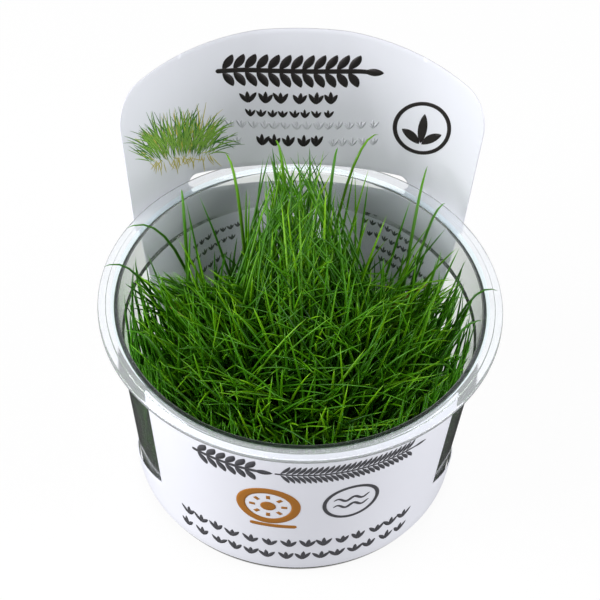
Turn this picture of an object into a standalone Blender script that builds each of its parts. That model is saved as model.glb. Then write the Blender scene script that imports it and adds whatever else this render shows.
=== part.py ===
"""Dwarf hairgrass in a clear tissue-culture cup with a printed label sleeve.

Metres, +Z up. The origin is the centre of the cup's base, on the surface that it stands on.
The label's front panel faces -Y, and its tall back tab stands at +Y.
"""

import math

import bmesh
import bpy
import numpy as np

MM = 0.001

# The cup: a turned thin wall with a flat base and a broad flange round its mouth
CUP_HEIGHT = 59.5 * MM
BASE_RADIUS = 42.1 * MM         # outside of the wall, carried down to the surface
WALL_SLOPE = 0.077              # the outside grows by this much radius for each unit of height
WALL = 1.35 * MM
FLOOR = 1.3 * MM
FOOT_BEVEL = 0.8 * MM
FLANGE_RADIUS = 50.5 * MM
FLANGE_THICKNESS = 1.4 * MM
FLANGE_EDGE = 0.4 * MM
MOUTH_LIP_RADIUS = 47.3 * MM    # the flange's flat top ends here and slopes into the mouth
MOUTH_RADIUS = 45.4 * MM
MOUTH_DROP = 0.7 * MM
STEP_HEIGHT = 48.5 * MM         # small ledge on the inside wall
STEP_RADIUS = 45.0 * MM
STEP_DROP = 0.8 * MM
CUP_SEGMENTS = 60

# The gel that the plants stand on
GEL_TOP = 9.0 * MM
CLEARANCE = 0.3 * MM
GEL_SEGMENTS = 40

# The label: one printed sheet with a front panel, two open sides and a tall back tab
SHEET = 0.35 * MM
SLEEVE_FOOT = 2.2 * MM
FRONT_TOP = 56.8 * MM
FRONT_HALF_ANGLE = math.radians(52.5)
BACK_HALF_ANGLE = math.radians(57.5)
VERTEX_HEIGHT = 16.8 * MM       # where the front panel's side edge meets the foot strip
FOOT_EDGE_SLOPE = 0.53
FOOT_EDGE_ROUNDING = 1.5 * MM
BEND_HEIGHT = 54.5 * MM         # the back's sides lean out to here, pass the flange, and stand up
BEND_RADIUS = 51.02 * MM
TAB_TAPER = math.radians(4.3)
PLAN_RADIUS = 96.0 * MM         # the back's middle is flatter than the cup, seen from above
PLAN_ROUNDING = 0.35 * MM       # where it meets the rounder sides
FLAT_FADE = 20.0 * MM           # above the rim it takes about this height to turn round again
SLOT_LOW = 54.5 * MM            # a slot in the back's middle, which the flange sticks out of
SLOT_HIGH = 59.9 * MM
SLOT_HALF_ANGLE = math.radians(32.2)            # to where its round ends begin
SLOT_END_STEPS = 3
TAB_TOP = 100.7 * MM
TAB_TOP_ARC = 350.0 * MM
TAB_CORNER = 9.4 * MM
TAB_MEAN_RADIUS = 54.0 * MM
FRONT_RISES = (35.0 * MM, FRONT_TOP)            # heights of the sheet's rows above the foot strip
BACK_LOWER_RISES = (33.0 * MM, 46.0 * MM)       # and of the back's, below and above the slot
BACK_UPPER_RISES = (66.0 * MM, 76.0 * MM)
FRONT_COLUMNS = 18
SIDE_COLUMNS = 10
TAB_COLUMNS = 14
CORNER_STEPS = 4

# The plants: tufts in a sunflower spiral, each a small crown whose faces are drawn out into blades
TUFTS = 40
PLANTED_RADIUS = 33.0 * MM
PLANTED_CENTRE_Y = -3.0 * MM
CROWN_FOOT_RADIUS = 2.07 * MM
CROWN_RADIUS = 2.3 * MM
CROWN_SHOULDER = 1.1 * MM
CROWN_TOP = 2.3 * MM
CROWN_TOP_RADIUS = 1.15 * MM
BUDS = 10
BLADE_STATIONS = (0.0, 0.07, 0.5, 1.0)          # shares of a blade's length where its line bends
STRAY_STATIONS = (0.0, 0.06, 0.3, 0.55, 0.78, 1.0)
FOOT_REACH = 1.65 * MM          # a blade's reach from its centre line where it leaves the crown
LOW_REACH = 0.72 * MM           # at its first bend
HIGH_REACH = 0.42 * MM          # what it would be at its point
SAMPLE_STEP = 1.4 * MM
CANOPY_CENTRE = 80.5 * MM       # height that the blades reach, before the dome falls to the rim
CANOPY_FALL = 20.0 * MM
CANOPY_BACK_RISE = 8.0 * MM
SEED = 41

# How a blade leaves its bud, as slopes against the upright
LEAN = 0.16                     # away from the middle of the planting
PUSHES = (0.2, 0.5, 0.5)        # away from its own crown, for the three kinds of side bud
PUSH_SHARES = (0.35, 0.9)
FACING_LOSS = 0.7               # a bud that already faces outward is pushed less
WANDER = 0.05
WANDER_GROWTH = 0.004           # each new try wanders this much further
DROOPS = (0.2, 1.3)
SWAY = 0.16
SAG = 0.4
LENGTHS = (58.0 * MM, 80.0 * MM)
SHORTEST = 12.0 * MM
SHORTENING = 0.988              # each new try for a crowded blade is this much shorter
TRIES = 90

# Room that the blades leave
BLADE_GAP = 0.35 * MM           # between blades of two crowns
OWN_GAP = 0.1 * MM              # between blades of one crown
OWN_ROOM = 4.5 * MM             # a blade may touch its neighbours up to this far from its foot
WALL_ROOM = 1.4 * MM
RIM_ROOM = 1.6 * MM             # above the rim
REACH_ROOM = 0.6 * MM           # inside the flange's edge and in front of the tab
GEL_ROOM = 1.5 * MM
# Tips of the long blades that arch over the rim or lean back to the tab
STRAY_TIPS = (
    (-49.3 * MM, 5.5 * MM, 63.5 * MM),
    (-44.4 * MM, 19.0 * MM, 63.5 * MM),
    (-43.0 * MM, -16.0 * MM, 64.0 * MM),
    (-30.4 * MM, 25.3 * MM, 71.5 * MM),
    (-19.5 * MM, 35.6 * MM, 74.5 * MM),
    (-6.7 * MM, 36.4 * MM, 78.5 * MM),
    (9.5 * MM, 36.2 * MM, 76.5 * MM),
    (20.4 * MM, 42.3 * MM, 75.5 * MM),
    (33.2 * MM, 36.2 * MM, 70.5 * MM),
    (37.9 * MM, 28.4 * MM, 64.5 * MM),
    (48.7 * MM, -1.3 * MM, 63.5 * MM),
    (44.0 * MM, -12.0 * MM, 64.5 * MM),
)
STRAY_RISE = 11.0 * MM          # the arch's control point above the tip
STRAY_CREST = 0.36              # and its share of the way to the tip
STRAY_RUN = 19.8 * MM           # a long blade grows from a bud about this far from its tip
STRAY_FACING = 4.0 * MM         # and rather from one that faces the tip
# Room kept free beside the back wall, as (low x, high x, low y, high y); the left is its mirror
FREE_CORNER = (17.0 * MM, 32.0 * MM, 20.0 * MM, 33.0 * MM)
FREE_FLOOR = 29.0 * MM

GRASS = (0.075, 0.24, 0.012, 1.0)


def clear_scene():
    for item in list(bpy.data.objects):
        bpy.data.objects.remove(item, do_unlink=True)


def material(name, colour, roughness, alpha=1.0, transmission=0.0):
    made = bpy.data.materials.new(name)
    made.use_nodes = True
    shader = made.node_tree.nodes["Principled BSDF"]
    shader.inputs["Base Color"].default_value = colour
    shader.inputs["Roughness"].default_value = roughness
    shader.inputs["Metallic"].default_value = 0.0
    shader.inputs["Alpha"].default_value = alpha
    shader.inputs["Transmission Weight"].default_value = transmission
    made.diffuse_color = (*colour[:3], alpha)
    return made


def add_object(name, bm, finish):
    mesh = bpy.data.meshes.new(name)
    bm.to_mesh(mesh)
    bm.free()
    mesh.materials.append(finish)
    made = bpy.data.objects.new(name, mesh)
    bpy.context.scene.collection.objects.link(made)
    return made


def turned(name, profile, segments, finish):
    """A closed solid of revolution. The profile starts and ends on the Z axis or closes on itself."""
    bm = bmesh.new()
    points = [bm.verts.new((r, 0.0, z)) for r, z in profile]
    edges = [bm.edges.new(pair) for pair in zip(points, points[1:])]
    bmesh.ops.spin(
        bm,
        geom=points + edges,
        cent=(0.0, 0.0, 0.0),
        axis=(0.0, 0.0, 1.0),
        angle=math.tau,
        steps=segments,
        use_merge=True,
    )
    bmesh.ops.remove_doubles(bm, verts=bm.verts, dist=1e-6)
    bmesh.ops.recalc_face_normals(bm, faces=bm.faces)
    made = add_object(name, bm, finish)
    made.data.shade_smooth()
    made.data.set_sharp_from_angle(angle=math.radians(30.0))
    return made


def wall_radius(height):
    """Outside radius of the cup's wall."""
    return BASE_RADIUS + WALL_SLOPE * height


def inner_radius(height):
    """Inside radius of the cup, below and above the small ledge."""
    if height < STEP_HEIGHT - STEP_DROP:
        return wall_radius(height) - WALL
    rise = (height - STEP_HEIGHT) / (CUP_HEIGHT - MOUTH_DROP - STEP_HEIGHT)
    return STEP_RADIUS + (MOUTH_RADIUS - STEP_RADIUS) * max(rise, 0.0)


def make_cup():
    under = CUP_HEIGHT - FLANGE_THICKNESS
    ledge = STEP_HEIGHT - STEP_DROP
    inner_floor = inner_radius(FLOOR)
    profile = [
        (0.0, FLOOR),
        (inner_floor - FOOT_BEVEL, FLOOR),
        (inner_radius(FLOOR + FOOT_BEVEL), FLOOR + FOOT_BEVEL),
        (wall_radius(ledge) - WALL, ledge),
        (STEP_RADIUS, STEP_HEIGHT),
        (MOUTH_RADIUS, CUP_HEIGHT - MOUTH_DROP),
        (MOUTH_LIP_RADIUS, CUP_HEIGHT),
        (FLANGE_RADIUS - FLANGE_EDGE, CUP_HEIGHT),
        (FLANGE_RADIUS, CUP_HEIGHT - FLANGE_EDGE),
        (FLANGE_RADIUS, under),
        (wall_radius(under), under),
        (wall_radius(FOOT_BEVEL), FOOT_BEVEL),
        (BASE_RADIUS - FOOT_BEVEL, 0.0),
        (0.0, 0.0),
    ]
    finish = material("clear_plastic", (0.86, 0.90, 0.88, 1.0), 0.08, 0.35, 1.0)
    turned("cup", profile, CUP_SEGMENTS, finish)


def make_gel():
    low = FLOOR + CLEARANCE
    shoulder = low + FOOT_BEVEL
    profile = [
        (0.0, low),
        (inner_radius(low) - CLEARANCE - FOOT_BEVEL, low),
        (inner_radius(shoulder) - CLEARANCE, shoulder),
        (inner_radius(GEL_TOP) - CLEARANCE, GEL_TOP),
        (0.0, GEL_TOP),
    ]
    finish = material("gel", (0.42, 0.44, 0.22, 1.0), 0.15, 0.6, 0.6)
    turned("nutrient_gel", profile, GEL_SEGMENTS, finish)


def hugging_radius(height):
    """Outside radius of the label where it follows the cup's wall."""
    return wall_radius(height) + CLEARANCE + SHEET


def side_radius(height):
    """Outside radius of the back's sides: they lean out past the flange, then stand nearly upright."""
    foot = hugging_radius(SLEEVE_FOOT)
    share = (height - SLEEVE_FOOT) / (BEND_HEIGHT - SLEEVE_FOOT)
    upright = BEND_RADIUS + (height - BEND_HEIGHT) * math.tan(TAB_TAPER)
    return np.where(height < BEND_HEIGHT, foot + (BEND_RADIUS - foot) * share, upright)


def back_radius(angle, height):
    """Outside radius of the label's back: flat across the middle and close to the wall up to the rim."""
    side = side_radius(height)
    widest = side_radius(CUP_HEIGHT) - hugging_radius(CUP_HEIGHT)
    above = np.maximum(height - CUP_HEIGHT, 0.0)
    dent = np.where(above > 0.0, widest * np.exp(-above / FLAT_FADE), side - hugging_radius(height))
    middle = side - dent
    centre = PLAN_RADIUS - middle
    across = centre * np.sin(np.clip(angle, -BACK_HALF_ANGLE, BACK_HALF_ANGLE))
    flat = np.sqrt(PLAN_RADIUS**2 - across**2) - np.sqrt(centre**2 - across**2)
    rounding = PLAN_ROUNDING * dent / widest
    return 0.5 * (flat + side) - 0.5 * np.hypot(flat - side, rounding)


def sleeve_point(angle, height):
    """A point of the label's outer face. The angle is measured from the back, +Y, towards +X."""
    front_edge = math.pi - FRONT_HALF_ANGLE
    share = (front_edge - abs(angle)) / (front_edge - BACK_HALF_ANGLE)
    share = min(max(share, 0.0), 1.0)
    share = share * share * (3.0 - 2.0 * share)
    hugging = hugging_radius(height)
    radius = hugging + (float(back_radius(angle, height)) - hugging) * share
    return (radius * math.sin(angle), radius * math.cos(angle), height)


def foot_edge(angle):
    """Height of the open sides' lower edge: two slopes that meet in a rounded dip half-way round."""

    def rise(offset):
        run = FOOT_EDGE_SLOPE * offset * wall_radius(VERTEX_HEIGHT)
        return math.hypot(run, FOOT_EDGE_ROUNDING) - FOOT_EDGE_ROUNDING

    dip = VERTEX_HEIGHT - rise(math.pi / 2 - FRONT_HALF_ANGLE)
    return dip + rise(abs(abs(angle) - math.pi / 2))


def slot_edges(angle):
    """Heights of the slot's lower and upper edge at an angle: one middle height outside the slot."""
    middle, reach = 0.5 * (SLOT_LOW + SLOT_HIGH), 0.5 * (SLOT_HIGH - SLOT_LOW)
    into_end = max(abs(angle) - SLOT_HALF_ANGLE, 0.0) * BEND_RADIUS
    half = math.sqrt(max(reach**2 - into_end**2, 0.0))
    return middle - half, middle + half


def slot_end_angles():
    """Angles of the columns that draw the slot's round end."""
    reach = 0.5 * (SLOT_HIGH - SLOT_LOW) / BEND_RADIUS
    turns = [math.pi / 2 * i / SLOT_END_STEPS for i in range(SLOT_END_STEPS + 1)]
    return [SLOT_HALF_ANGLE + reach * math.sin(turn) for turn in turns]


def tab_outline():
    """Half of the tab's top edge as (angle, height): a shallow arc, then a round corner."""
    edge = BACK_HALF_ANGLE * TAB_MEAN_RADIUS
    start = math.asin((edge - TAB_CORNER) / (TAB_TOP_ARC - TAB_CORNER))
    corner_top = TAB_TOP_ARC * math.sin(start)
    top = [corner_top * i / (TAB_COLUMNS // 2) for i in range(TAB_COLUMNS // 2 + 1)]
    ends = [angle * TAB_MEAN_RADIUS for angle in slot_end_angles()]
    top = sorted([s for s in top if not ends[0] < s < ends[-1]] + ends)
    outline = [(s, TAB_TOP - TAB_TOP_ARC + math.sqrt(TAB_TOP_ARC**2 - s * s)) for s in top]
    centre = outline[-1][1] - TAB_CORNER * math.cos(start)
    for i in range(1, CORNER_STEPS + 1):
        turn = start + (math.pi / 2 - start) * i / CORNER_STEPS
        across = edge - TAB_CORNER + TAB_CORNER * math.sin(turn)
        outline.append((across, centre + TAB_CORNER * math.cos(turn)))
    return [(s / TAB_MEAN_RADIUS, z) for s, z in outline], centre


def sleeve_columns():
    """The label's columns once round, as (angle, heights above the foot strip)."""
    half, side_top = tab_outline()
    tab = [(-a, z) for a, z in reversed(half[1:])] + half
    columns = []
    for a, z in tab:
        rises = (*BACK_LOWER_RISES, *slot_edges(a), *BACK_UPPER_RISES, side_top, max(z, side_top))
        columns.append((a, rises))
    front_edge = math.pi - FRONT_HALF_ANGLE
    span = front_edge - BACK_HALF_ANGLE
    right = [(BACK_HALF_ANGLE + span * i / SIDE_COLUMNS, ()) for i in range(1, SIDE_COLUMNS)]
    width = 2 * FRONT_HALF_ANGLE
    front = [(front_edge + width * i / FRONT_COLUMNS, FRONT_RISES) for i in range(FRONT_COLUMNS + 1)]
    left = [(math.tau - a, ()) for a, _ in reversed(right)]
    return columns + right + front + left


def make_label():
    """The sheet's outer face on a grid of columns, given its thickness by a Solidify modifier."""
    bm = bmesh.new()
    grid = []
    for angle, heights in sleeve_columns():
        signed = angle if angle <= math.pi else angle - math.tau
        strip_top = foot_edge(max(abs(signed), BACK_HALF_ANGLE))
        if abs(signed) > math.pi - FRONT_HALF_ANGLE:
            strip_top = VERTEX_HEIGHT
        levels = [SLEEVE_FOOT, 0.5 * (SLEEVE_FOOT + strip_top), strip_top]
        slot_row = len(levels) + len(BACK_LOWER_RISES)
        levels += heights
        grid.append([bm.verts.new(sleeve_point(signed, level)) for level in levels])
    for here, after in zip(grid, grid[1:] + grid[:1]):
        for row in range(min(len(here), len(after)) - 1):
            if row != slot_row:
                bm.faces.new((here[row], here[row + 1], after[row + 1], after[row]))
    bmesh.ops.remove_doubles(bm, verts=bm.verts, dist=1e-6)
    bmesh.ops.dissolve_degenerate(bm, edges=bm.edges, dist=1e-6)
    finish = material("label_sheet", (0.80, 0.82, 0.85, 1.0), 0.4)
    made = add_object("label_sleeve", bm, finish)
    made.data.shade_smooth()
    made.data.set_sharp_from_angle(angle=math.radians(30.0))
    solid = made.modifiers.new("sheet", "SOLIDIFY")
    solid.thickness = SHEET
    solid.offset = -1.0
    solid.use_even_offset = True
    return made


def crown(place, turn):
    """Vertices and faces of a crown. The first ten faces are the triangles that blades grow from."""

    def ring(count, radius, height):
        angles = turn + math.tau * np.arange(count) / count
        return [(place[0] + radius * math.cos(a), place[1] + radius * math.sin(a), height) for a in angles]

    low = GEL_TOP + CLEARANCE
    points = ring(6, CROWN_FOOT_RADIUS, low)
    points += ring(6, CROWN_RADIUS, low + CROWN_SHOULDER)
    points += ring(3, CROWN_TOP_RADIUS, low + CROWN_TOP)
    base, middle, top = range(0, 6), range(6, 12), range(12, 15)
    buds = [(top[0], top[1], top[2])]
    for i in range(3):
        after = (i + 1) % 3
        buds.append((top[i], middle[2 * i + 1], top[after]))
        buds.append((top[i], middle[2 * i], middle[2 * i + 1]))
        buds.append((top[after], middle[2 * i + 1], middle[(2 * i + 2) % 6]))
    sides = [(base[i], base[(i + 1) % 6], middle[(i + 1) % 6], middle[i]) for i in range(6)]
    return np.array(points), buds, sides + [tuple(reversed(base))]


def unit(vector):
    return vector / np.linalg.norm(vector)


def blade_line(foot, direction, droop, length):
    """A blade's foot, bends and tip, on a line that curves by droop times share squared."""
    shares = np.array(BLADE_STATIONS)[:, None]
    return foot + length * (shares * direction + 0.5 * shares**2 * droop)


def stray_line(foot, tip):
    """A long blade's foot, bends and tip: up out of the crown, over an arch and down to the tip."""
    crest = foot + STRAY_CREST * (tip - foot)
    crest[2] = tip[2] + STRAY_RISE
    shares = np.array(STRAY_STATIONS)[:, None]
    return (1 - shares) ** 2 * foot + 2 * shares * (1 - shares) * crest + shares**2 * tip


def reaches(line):
    """How far the blade reaches from its centre line at each point of that line."""
    return (FOOT_REACH, *np.linspace(LOW_REACH, HIGH_REACH, len(line) - 1)[:-1], 0.0)


def along(line):
    """Points along a blade's line at even steps, each with the blade's reach there: x, y, z, reach."""
    stations = np.column_stack([line, reaches(line)])
    parts = []
    for a, b in zip(stations, stations[1:]):
        count = max(2, int(np.linalg.norm((b - a)[:3]) / SAMPLE_STEP))
        shares = np.linspace(0.0, 1.0, count, endpoint=False)[:, None]
        parts.append(a + (b - a) * shares)
    return np.concatenate(parts + [stations[-1:]])


def fits_cup(samples):
    """True where a blade stays in the cup, off the flange and tab, and out of the free corners."""
    radius = np.hypot(samples[:, 0], samples[:, 1])
    height = samples[:, 2]
    inside = height < CUP_HEIGHT + RIM_ROOM
    limits = np.minimum(wall_radius(height) - WALL, STEP_RADIUS) - WALL_ROOM
    if np.any(inside & (radius > limits)):
        return False
    tab = back_radius(np.arctan2(samples[:, 0], samples[:, 1]), height) - SHEET
    if np.any(radius > np.minimum(tab, FLANGE_RADIUS) - REACH_ROOM):
        return False
    if np.any(height < GEL_TOP + GEL_ROOM):
        return False
    side, back = np.abs(samples[:, 0]), samples[:, 1]
    low_x, high_x, low_y, high_y = FREE_CORNER
    corner = (side > low_x) & (side < high_x) & (back > low_y) & (back < high_y)
    return not np.any(corner & (height > FREE_FLOOR) & (height < CUP_HEIGHT))


class Thicket:
    """Every blade grown so far, as sample points, so that a new one can keep clear of them."""

    def __init__(self, places):
        low = GEL_TOP + CLEARANCE
        self.crowns = np.array([(x, y, low + 0.5 * CROWN_TOP) for x, y in places])
        self.points = np.zeros((0, 4))
        self.owners = np.zeros(0, int)

    def clear(self, samples, owner):
        """True where a new blade keeps its gap to other crowns, their blades and, further up, its own."""
        others = np.arange(len(self.crowns)) != owner
        steps = samples[:, None, :3] - self.crowns[None, others]
        gaps = np.linalg.norm(steps, axis=2) - samples[:, None, 3]
        if gaps.min() < math.hypot(CROWN_RADIUS, 0.5 * CROWN_TOP) + BLADE_GAP:
            return False
        room = 2 * FOOT_REACH + BLADE_GAP
        low, high = samples[:, :3].min(axis=0) - room, samples[:, :3].max(axis=0) + room
        near = np.all((self.points[:, :3] > low) & (self.points[:, :3] < high), axis=1)
        points, owners = self.points[near], self.owners[near]
        beyond = np.linalg.norm(samples[:, :3] - samples[0, :3], axis=1) > OWN_ROOM
        own = owners == owner
        pairs = ((samples, points[~own], BLADE_GAP), (samples[beyond], points[own], OWN_GAP))
        for mine, theirs, least in pairs:
            if len(mine) and len(theirs):
                gaps = np.linalg.norm(mine[:, None, :3] - theirs[None, :, :3], axis=2)
                if (gaps - mine[:, None, 3] - theirs[None, :, 3]).min() < least:
                    return False
        return True

    def add(self, samples, owner):
        self.points = np.concatenate([self.points, samples])
        self.owners = np.concatenate([self.owners, np.full(len(samples), owner)])


def canopy(x, y):
    """Height that ordinary blades reach: a dome, lower at the front and higher at the back."""
    rise = CANOPY_BACK_RISE * min(max(y / PLANTED_RADIUS, -1.0), 1.0)
    return CANOPY_CENTRE - CANOPY_FALL * (x * x + y * y) / MOUTH_RADIUS**2 + rise


def grow_blade(rng, thicket, owner, foot, bud, place):
    """The centre line of one blade: random lean, droop and length, tried until it is clear, or None.

    Bud 0 is the top of the crown, and its blade grows straight up.
    """
    out = np.array((place[0], place[1] - PLANTED_CENTRE_Y, 0.0)) / PLANTED_RADIUS
    push = np.zeros(3)
    if bud:
        away = unit(foot - np.array((place[0], place[1], foot[2])))
        facing = max(float(away @ out), 0.0)
        push = PUSHES[(bud - 1) % 3] * (1.0 - FACING_LOSS * facing) * away
    cap = 1.0
    for attempt in range(TRIES):
        wander = rng.normal(0.0, WANDER + WANDER_GROWTH * attempt, 3)
        wander[2] = 0.0
        direction = np.array((0.0, 0.0, 1.0)) + LEAN * out + wander
        direction = unit(direction + rng.uniform(*PUSH_SHARES) * push)
        droop = rng.uniform(*DROOPS) * direction
        droop[2] = -rng.uniform(0.0, SAG)
        droop[:2] += rng.normal(0.0, SWAY, 2)
        length = max(rng.uniform(*LENGTHS) * cap, SHORTEST)
        line = blade_line(foot, direction, droop, length)
        top = canopy(*line[-1][:2])
        if line[-1][2] > top:
            length *= (top - foot[2]) / (line[-1][2] - foot[2])
            line = blade_line(foot, direction, droop, length)
        samples = along(line)
        if fits_cup(samples) and thicket.clear(samples, owner):
            thicket.add(samples, owner)
            return line
        cap *= SHORTENING
    return None


def grow_stray(thicket, crowns, places, lines, tip):
    """A long blade to a given tip, from the first bud that gives it a clear way."""
    tip = np.array(tip)
    choices = []
    for owner, (points, buds, _) in enumerate(crowns):
        for bud in range(1, BUDS):
            foot = points[list(buds[bud])].mean(axis=0)
            away = unit(foot[:2] - places[owner])
            run = (tip - foot)[:2]
            cost = abs(np.linalg.norm(run) - STRAY_RUN) - STRAY_FACING * float(away @ unit(run))
            choices.append((cost, owner, bud, foot))
    for _, owner, bud, foot in sorted(choices, key=lambda choice: choice[0]):
        line = stray_line(foot, tip)
        samples = along(line)
        if (owner, bud) not in lines and fits_cup(samples) and thicket.clear(samples, owner):
            thicket.add(samples, owner)
            lines[owner, bud] = line
            return
    raise ValueError(f"no clear way to the tip {tip}")


def blade_mesh(points, faces, bud, line):
    """Draws a crown triangle out along its blade: one ring at each bend, closed at the tip."""
    corners = points[list(bud)]
    offsets = corners - corners.mean(axis=0)
    below = list(bud)
    for station, reach in list(enumerate(reaches(line)))[1:-1]:
        tangent = unit(line[station + 1] - line[station - 1])
        offsets = offsets - np.outer(offsets @ tangent, tangent)
        offsets = reach * offsets / np.linalg.norm(offsets, axis=1)[:, None]
        first = len(points)
        points = np.concatenate([points, line[station] + offsets])
        above = [first, first + 1, first + 2]
        for i in range(3):
            after = (i + 1) % 3
            faces.append((below[i], below[after], above[after], above[i]))
        below = above
    tip = len(points)
    points = np.concatenate([points, line[-1:]])
    for i in range(3):
        faces.append((below[i], below[(i + 1) % 3], tip))
    return points


def tuft_places():
    """Crown places on a sunflower spiral over the planted disc."""
    turn = math.pi * (3.0 - math.sqrt(5.0))
    places = []
    for i in range(TUFTS):
        reach = PLANTED_RADIUS * math.sqrt((i + 0.5) / TUFTS)
        places.append((reach * math.cos(i * turn), PLANTED_CENTRE_Y + reach * math.sin(i * turn)))
    return places


def make_tufts():
    rng = np.random.default_rng(SEED)
    places = tuft_places()
    thicket = Thicket(places)
    crowns = [crown(place, rng.uniform(0.0, math.tau)) for place in places]
    lines = {}
    for tip in STRAY_TIPS:
        grow_stray(thicket, crowns, places, lines, tip)
    for bud in range(BUDS):
        for owner, (points, buds, _) in enumerate(crowns):
            if (owner, bud) not in lines:
                foot = points[list(buds[bud])].mean(axis=0)
                lines[owner, bud] = grow_blade(rng, thicket, owner, foot, bud, places[owner])
    finish = material("hairgrass", GRASS, 0.45)
    for owner, (points, buds, rest) in enumerate(crowns):
        faces = list(rest)
        for bud, corners in enumerate(buds):
            if lines[owner, bud] is None:
                faces.append(corners)
            else:
                points = blade_mesh(points, faces, corners, lines[owner, bud])
        bm = bmesh.new()
        verts = [bm.verts.new(point) for point in points]
        for face in faces:
            bm.faces.new([verts[i] for i in face])
        bmesh.ops.recalc_face_normals(bm, faces=bm.faces)
        add_object(f"hairgrass_tuft_{owner + 1:02d}", bm, finish)


def main():
    clear_scene()
    make_cup()
    make_gel()
    make_label()
    make_tufts()


main()
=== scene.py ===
"""Looks of dwarf hairgrass in its culture cup: a clear cup, a printed label sleeve, gel and grass.

Metres, +Z up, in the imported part's own frame: the origin is the centre of the cup's base, the
label's front panel faces -Y and its tab stands at +Y. Shapes are surfaces worked out with numpy.
"""

import math

import bpy
import numpy as np
from bpy.props import FloatProperty, FloatVectorProperty, IntProperty, PointerProperty
from mathutils import Matrix


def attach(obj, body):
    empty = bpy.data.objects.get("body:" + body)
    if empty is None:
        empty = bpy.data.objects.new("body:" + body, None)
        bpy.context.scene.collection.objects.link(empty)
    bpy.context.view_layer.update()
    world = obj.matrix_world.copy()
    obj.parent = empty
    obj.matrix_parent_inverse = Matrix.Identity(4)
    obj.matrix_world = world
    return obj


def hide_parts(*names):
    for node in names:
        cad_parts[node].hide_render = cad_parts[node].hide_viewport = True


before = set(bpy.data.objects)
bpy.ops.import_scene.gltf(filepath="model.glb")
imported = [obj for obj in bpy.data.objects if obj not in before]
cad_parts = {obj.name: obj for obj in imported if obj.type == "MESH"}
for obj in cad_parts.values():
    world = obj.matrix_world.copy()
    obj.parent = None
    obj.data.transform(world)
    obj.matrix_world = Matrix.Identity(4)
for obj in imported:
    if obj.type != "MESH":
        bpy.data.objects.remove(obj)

bl_info = {
    "name": "Dwarf hairgrass in a culture cup",
    "version": (1, 0, 0),
    "blender": (4, 5, 0),
    "location": "3D Viewport > Sidebar > Hairgrass",
    "description": "Clear cup, printed label sleeve, gel and grass blades for the packed part",
    "category": "Object",
}

MM = 0.001
SEED = 7
FILLET_POINTS = 6
SHADING_WEIGHT = 90             # how far broad faces outweigh narrow ones in a sheet's shading

# The cup
CUP_HEIGHT = 59.5 * MM
BASE_RADIUS = 42.1 * MM
WALL_SLOPE = 0.077
WALL = 1.35 * MM
FLOOR = 1.3 * MM
FLANGE_RADIUS = 50.5 * MM
FLANGE_THICKNESS = 1.4 * MM
MOUTH_LIP_RADIUS = 47.3 * MM
MOUTH_RADIUS = 45.4 * MM
MOUTH_DROP = 0.7 * MM
MOUTH_BEND = 0.3 * MM           # half the width of the bend at the mouth's inner edge
STEP_HEIGHT = 48.5 * MM
STEP_RADIUS = 45.0 * MM
STEP_DROP = 0.8 * MM
SEAT_RADIUS = 48.4 * MM
SEAT_DROP = 0.2 * MM
CUP_SEGMENTS = 256

# The cup's plastics: name, colour, and the share of the light that they don't scatter
PLASTICS = (
    ("clear_plastic", (0.955, 0.985, 0.975), 0.985),
    ("band_plastic", (0.60, 0.63, 0.61), 0.975),
    ("mouth_plastic", (0.80, 0.95, 1.0), 0.985),
    ("flange_plastic", (0.93, 0.95, 0.98), 0.84),
    # Painted shade: the base's plastic is tinted dark olive and clouded, standing in for the gel and the
    # shade under the cup seen through it
    ("base_plastic", (0.16, 0.15, 0.05), 0.70),
)
CLEAR, BAND, MOUTH, FLANGE, BASE = range(len(PLASTICS))
PLASTIC_IOR = 1.49

# The gel
GEL_TOP = 9.0 * MM
GEL_GAP = 0.1 * MM
GEL_SEGMENTS = 128
GEL_IOR = 1.34
GEL_CLEARNESS = 0.55

# The label
CLEARANCE = 0.3 * MM
SHEET = 0.35 * MM
SHEET_IOR = 1.46
SLEEVE_FOOT = 2.2 * MM
FRONT_TOP = 56.8 * MM
FRONT_HALF_ANGLE = math.radians(52.5)
BACK_HALF_ANGLE = math.radians(57.5)
VERTEX_HEIGHT = 16.8 * MM
FOOT_EDGE_SLOPE = 0.53
FOOT_EDGE_ROUNDING = 1.5 * MM
BEND_HEIGHT = 54.5 * MM
BEND_RADIUS = 51.02 * MM
BEND_ROUNDING = 1.0 * MM
TAB_TAPER = math.radians(4.3)
PLAN_RADIUS = 96.0 * MM
PLAN_ROUNDING = 0.35 * MM
FLAT_FADE = 20.0 * MM
SLOT_LOW = 54.5 * MM
SLOT_HIGH = 59.9 * MM
SLOT_HALF_ANGLE = math.radians(32.2)
TAB_TOP = 100.7 * MM
TAB_TOP_ARC = 350.0 * MM
TAB_CORNER = 9.4 * MM
TAB_MEAN_RADIUS = 54.0 * MM

# The label's grids
TAB_COLUMNS = 24                # from the tab's middle to its corner
CORNER_COLUMNS = 15
SLOT_END_COLUMNS = 11
SIDE_COLUMNS = 42
FRONT_COLUMNS = 97
FOOT_ROWS = 6
BACK_ROWS = 24
TAB_ROWS = 30
FRONT_ROWS = 16

# The print's layouts, in millimetres: x to the viewer's right of the middle, y over the surface.
# Garlands: left end, right end, height, a leaf's length and half width, the stem's half width
FRONT_GARLANDS = ((-27.5, -9.5, 48.0, 4.4, 0.95, 0.55), (-6.5, 30.0, 48.0, 4.0, 0.5, 0.3))
TAB_GARLANDS = ((-22.5, 18.5, 88.0, 5.2, 1.15, 0.7),)
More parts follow.
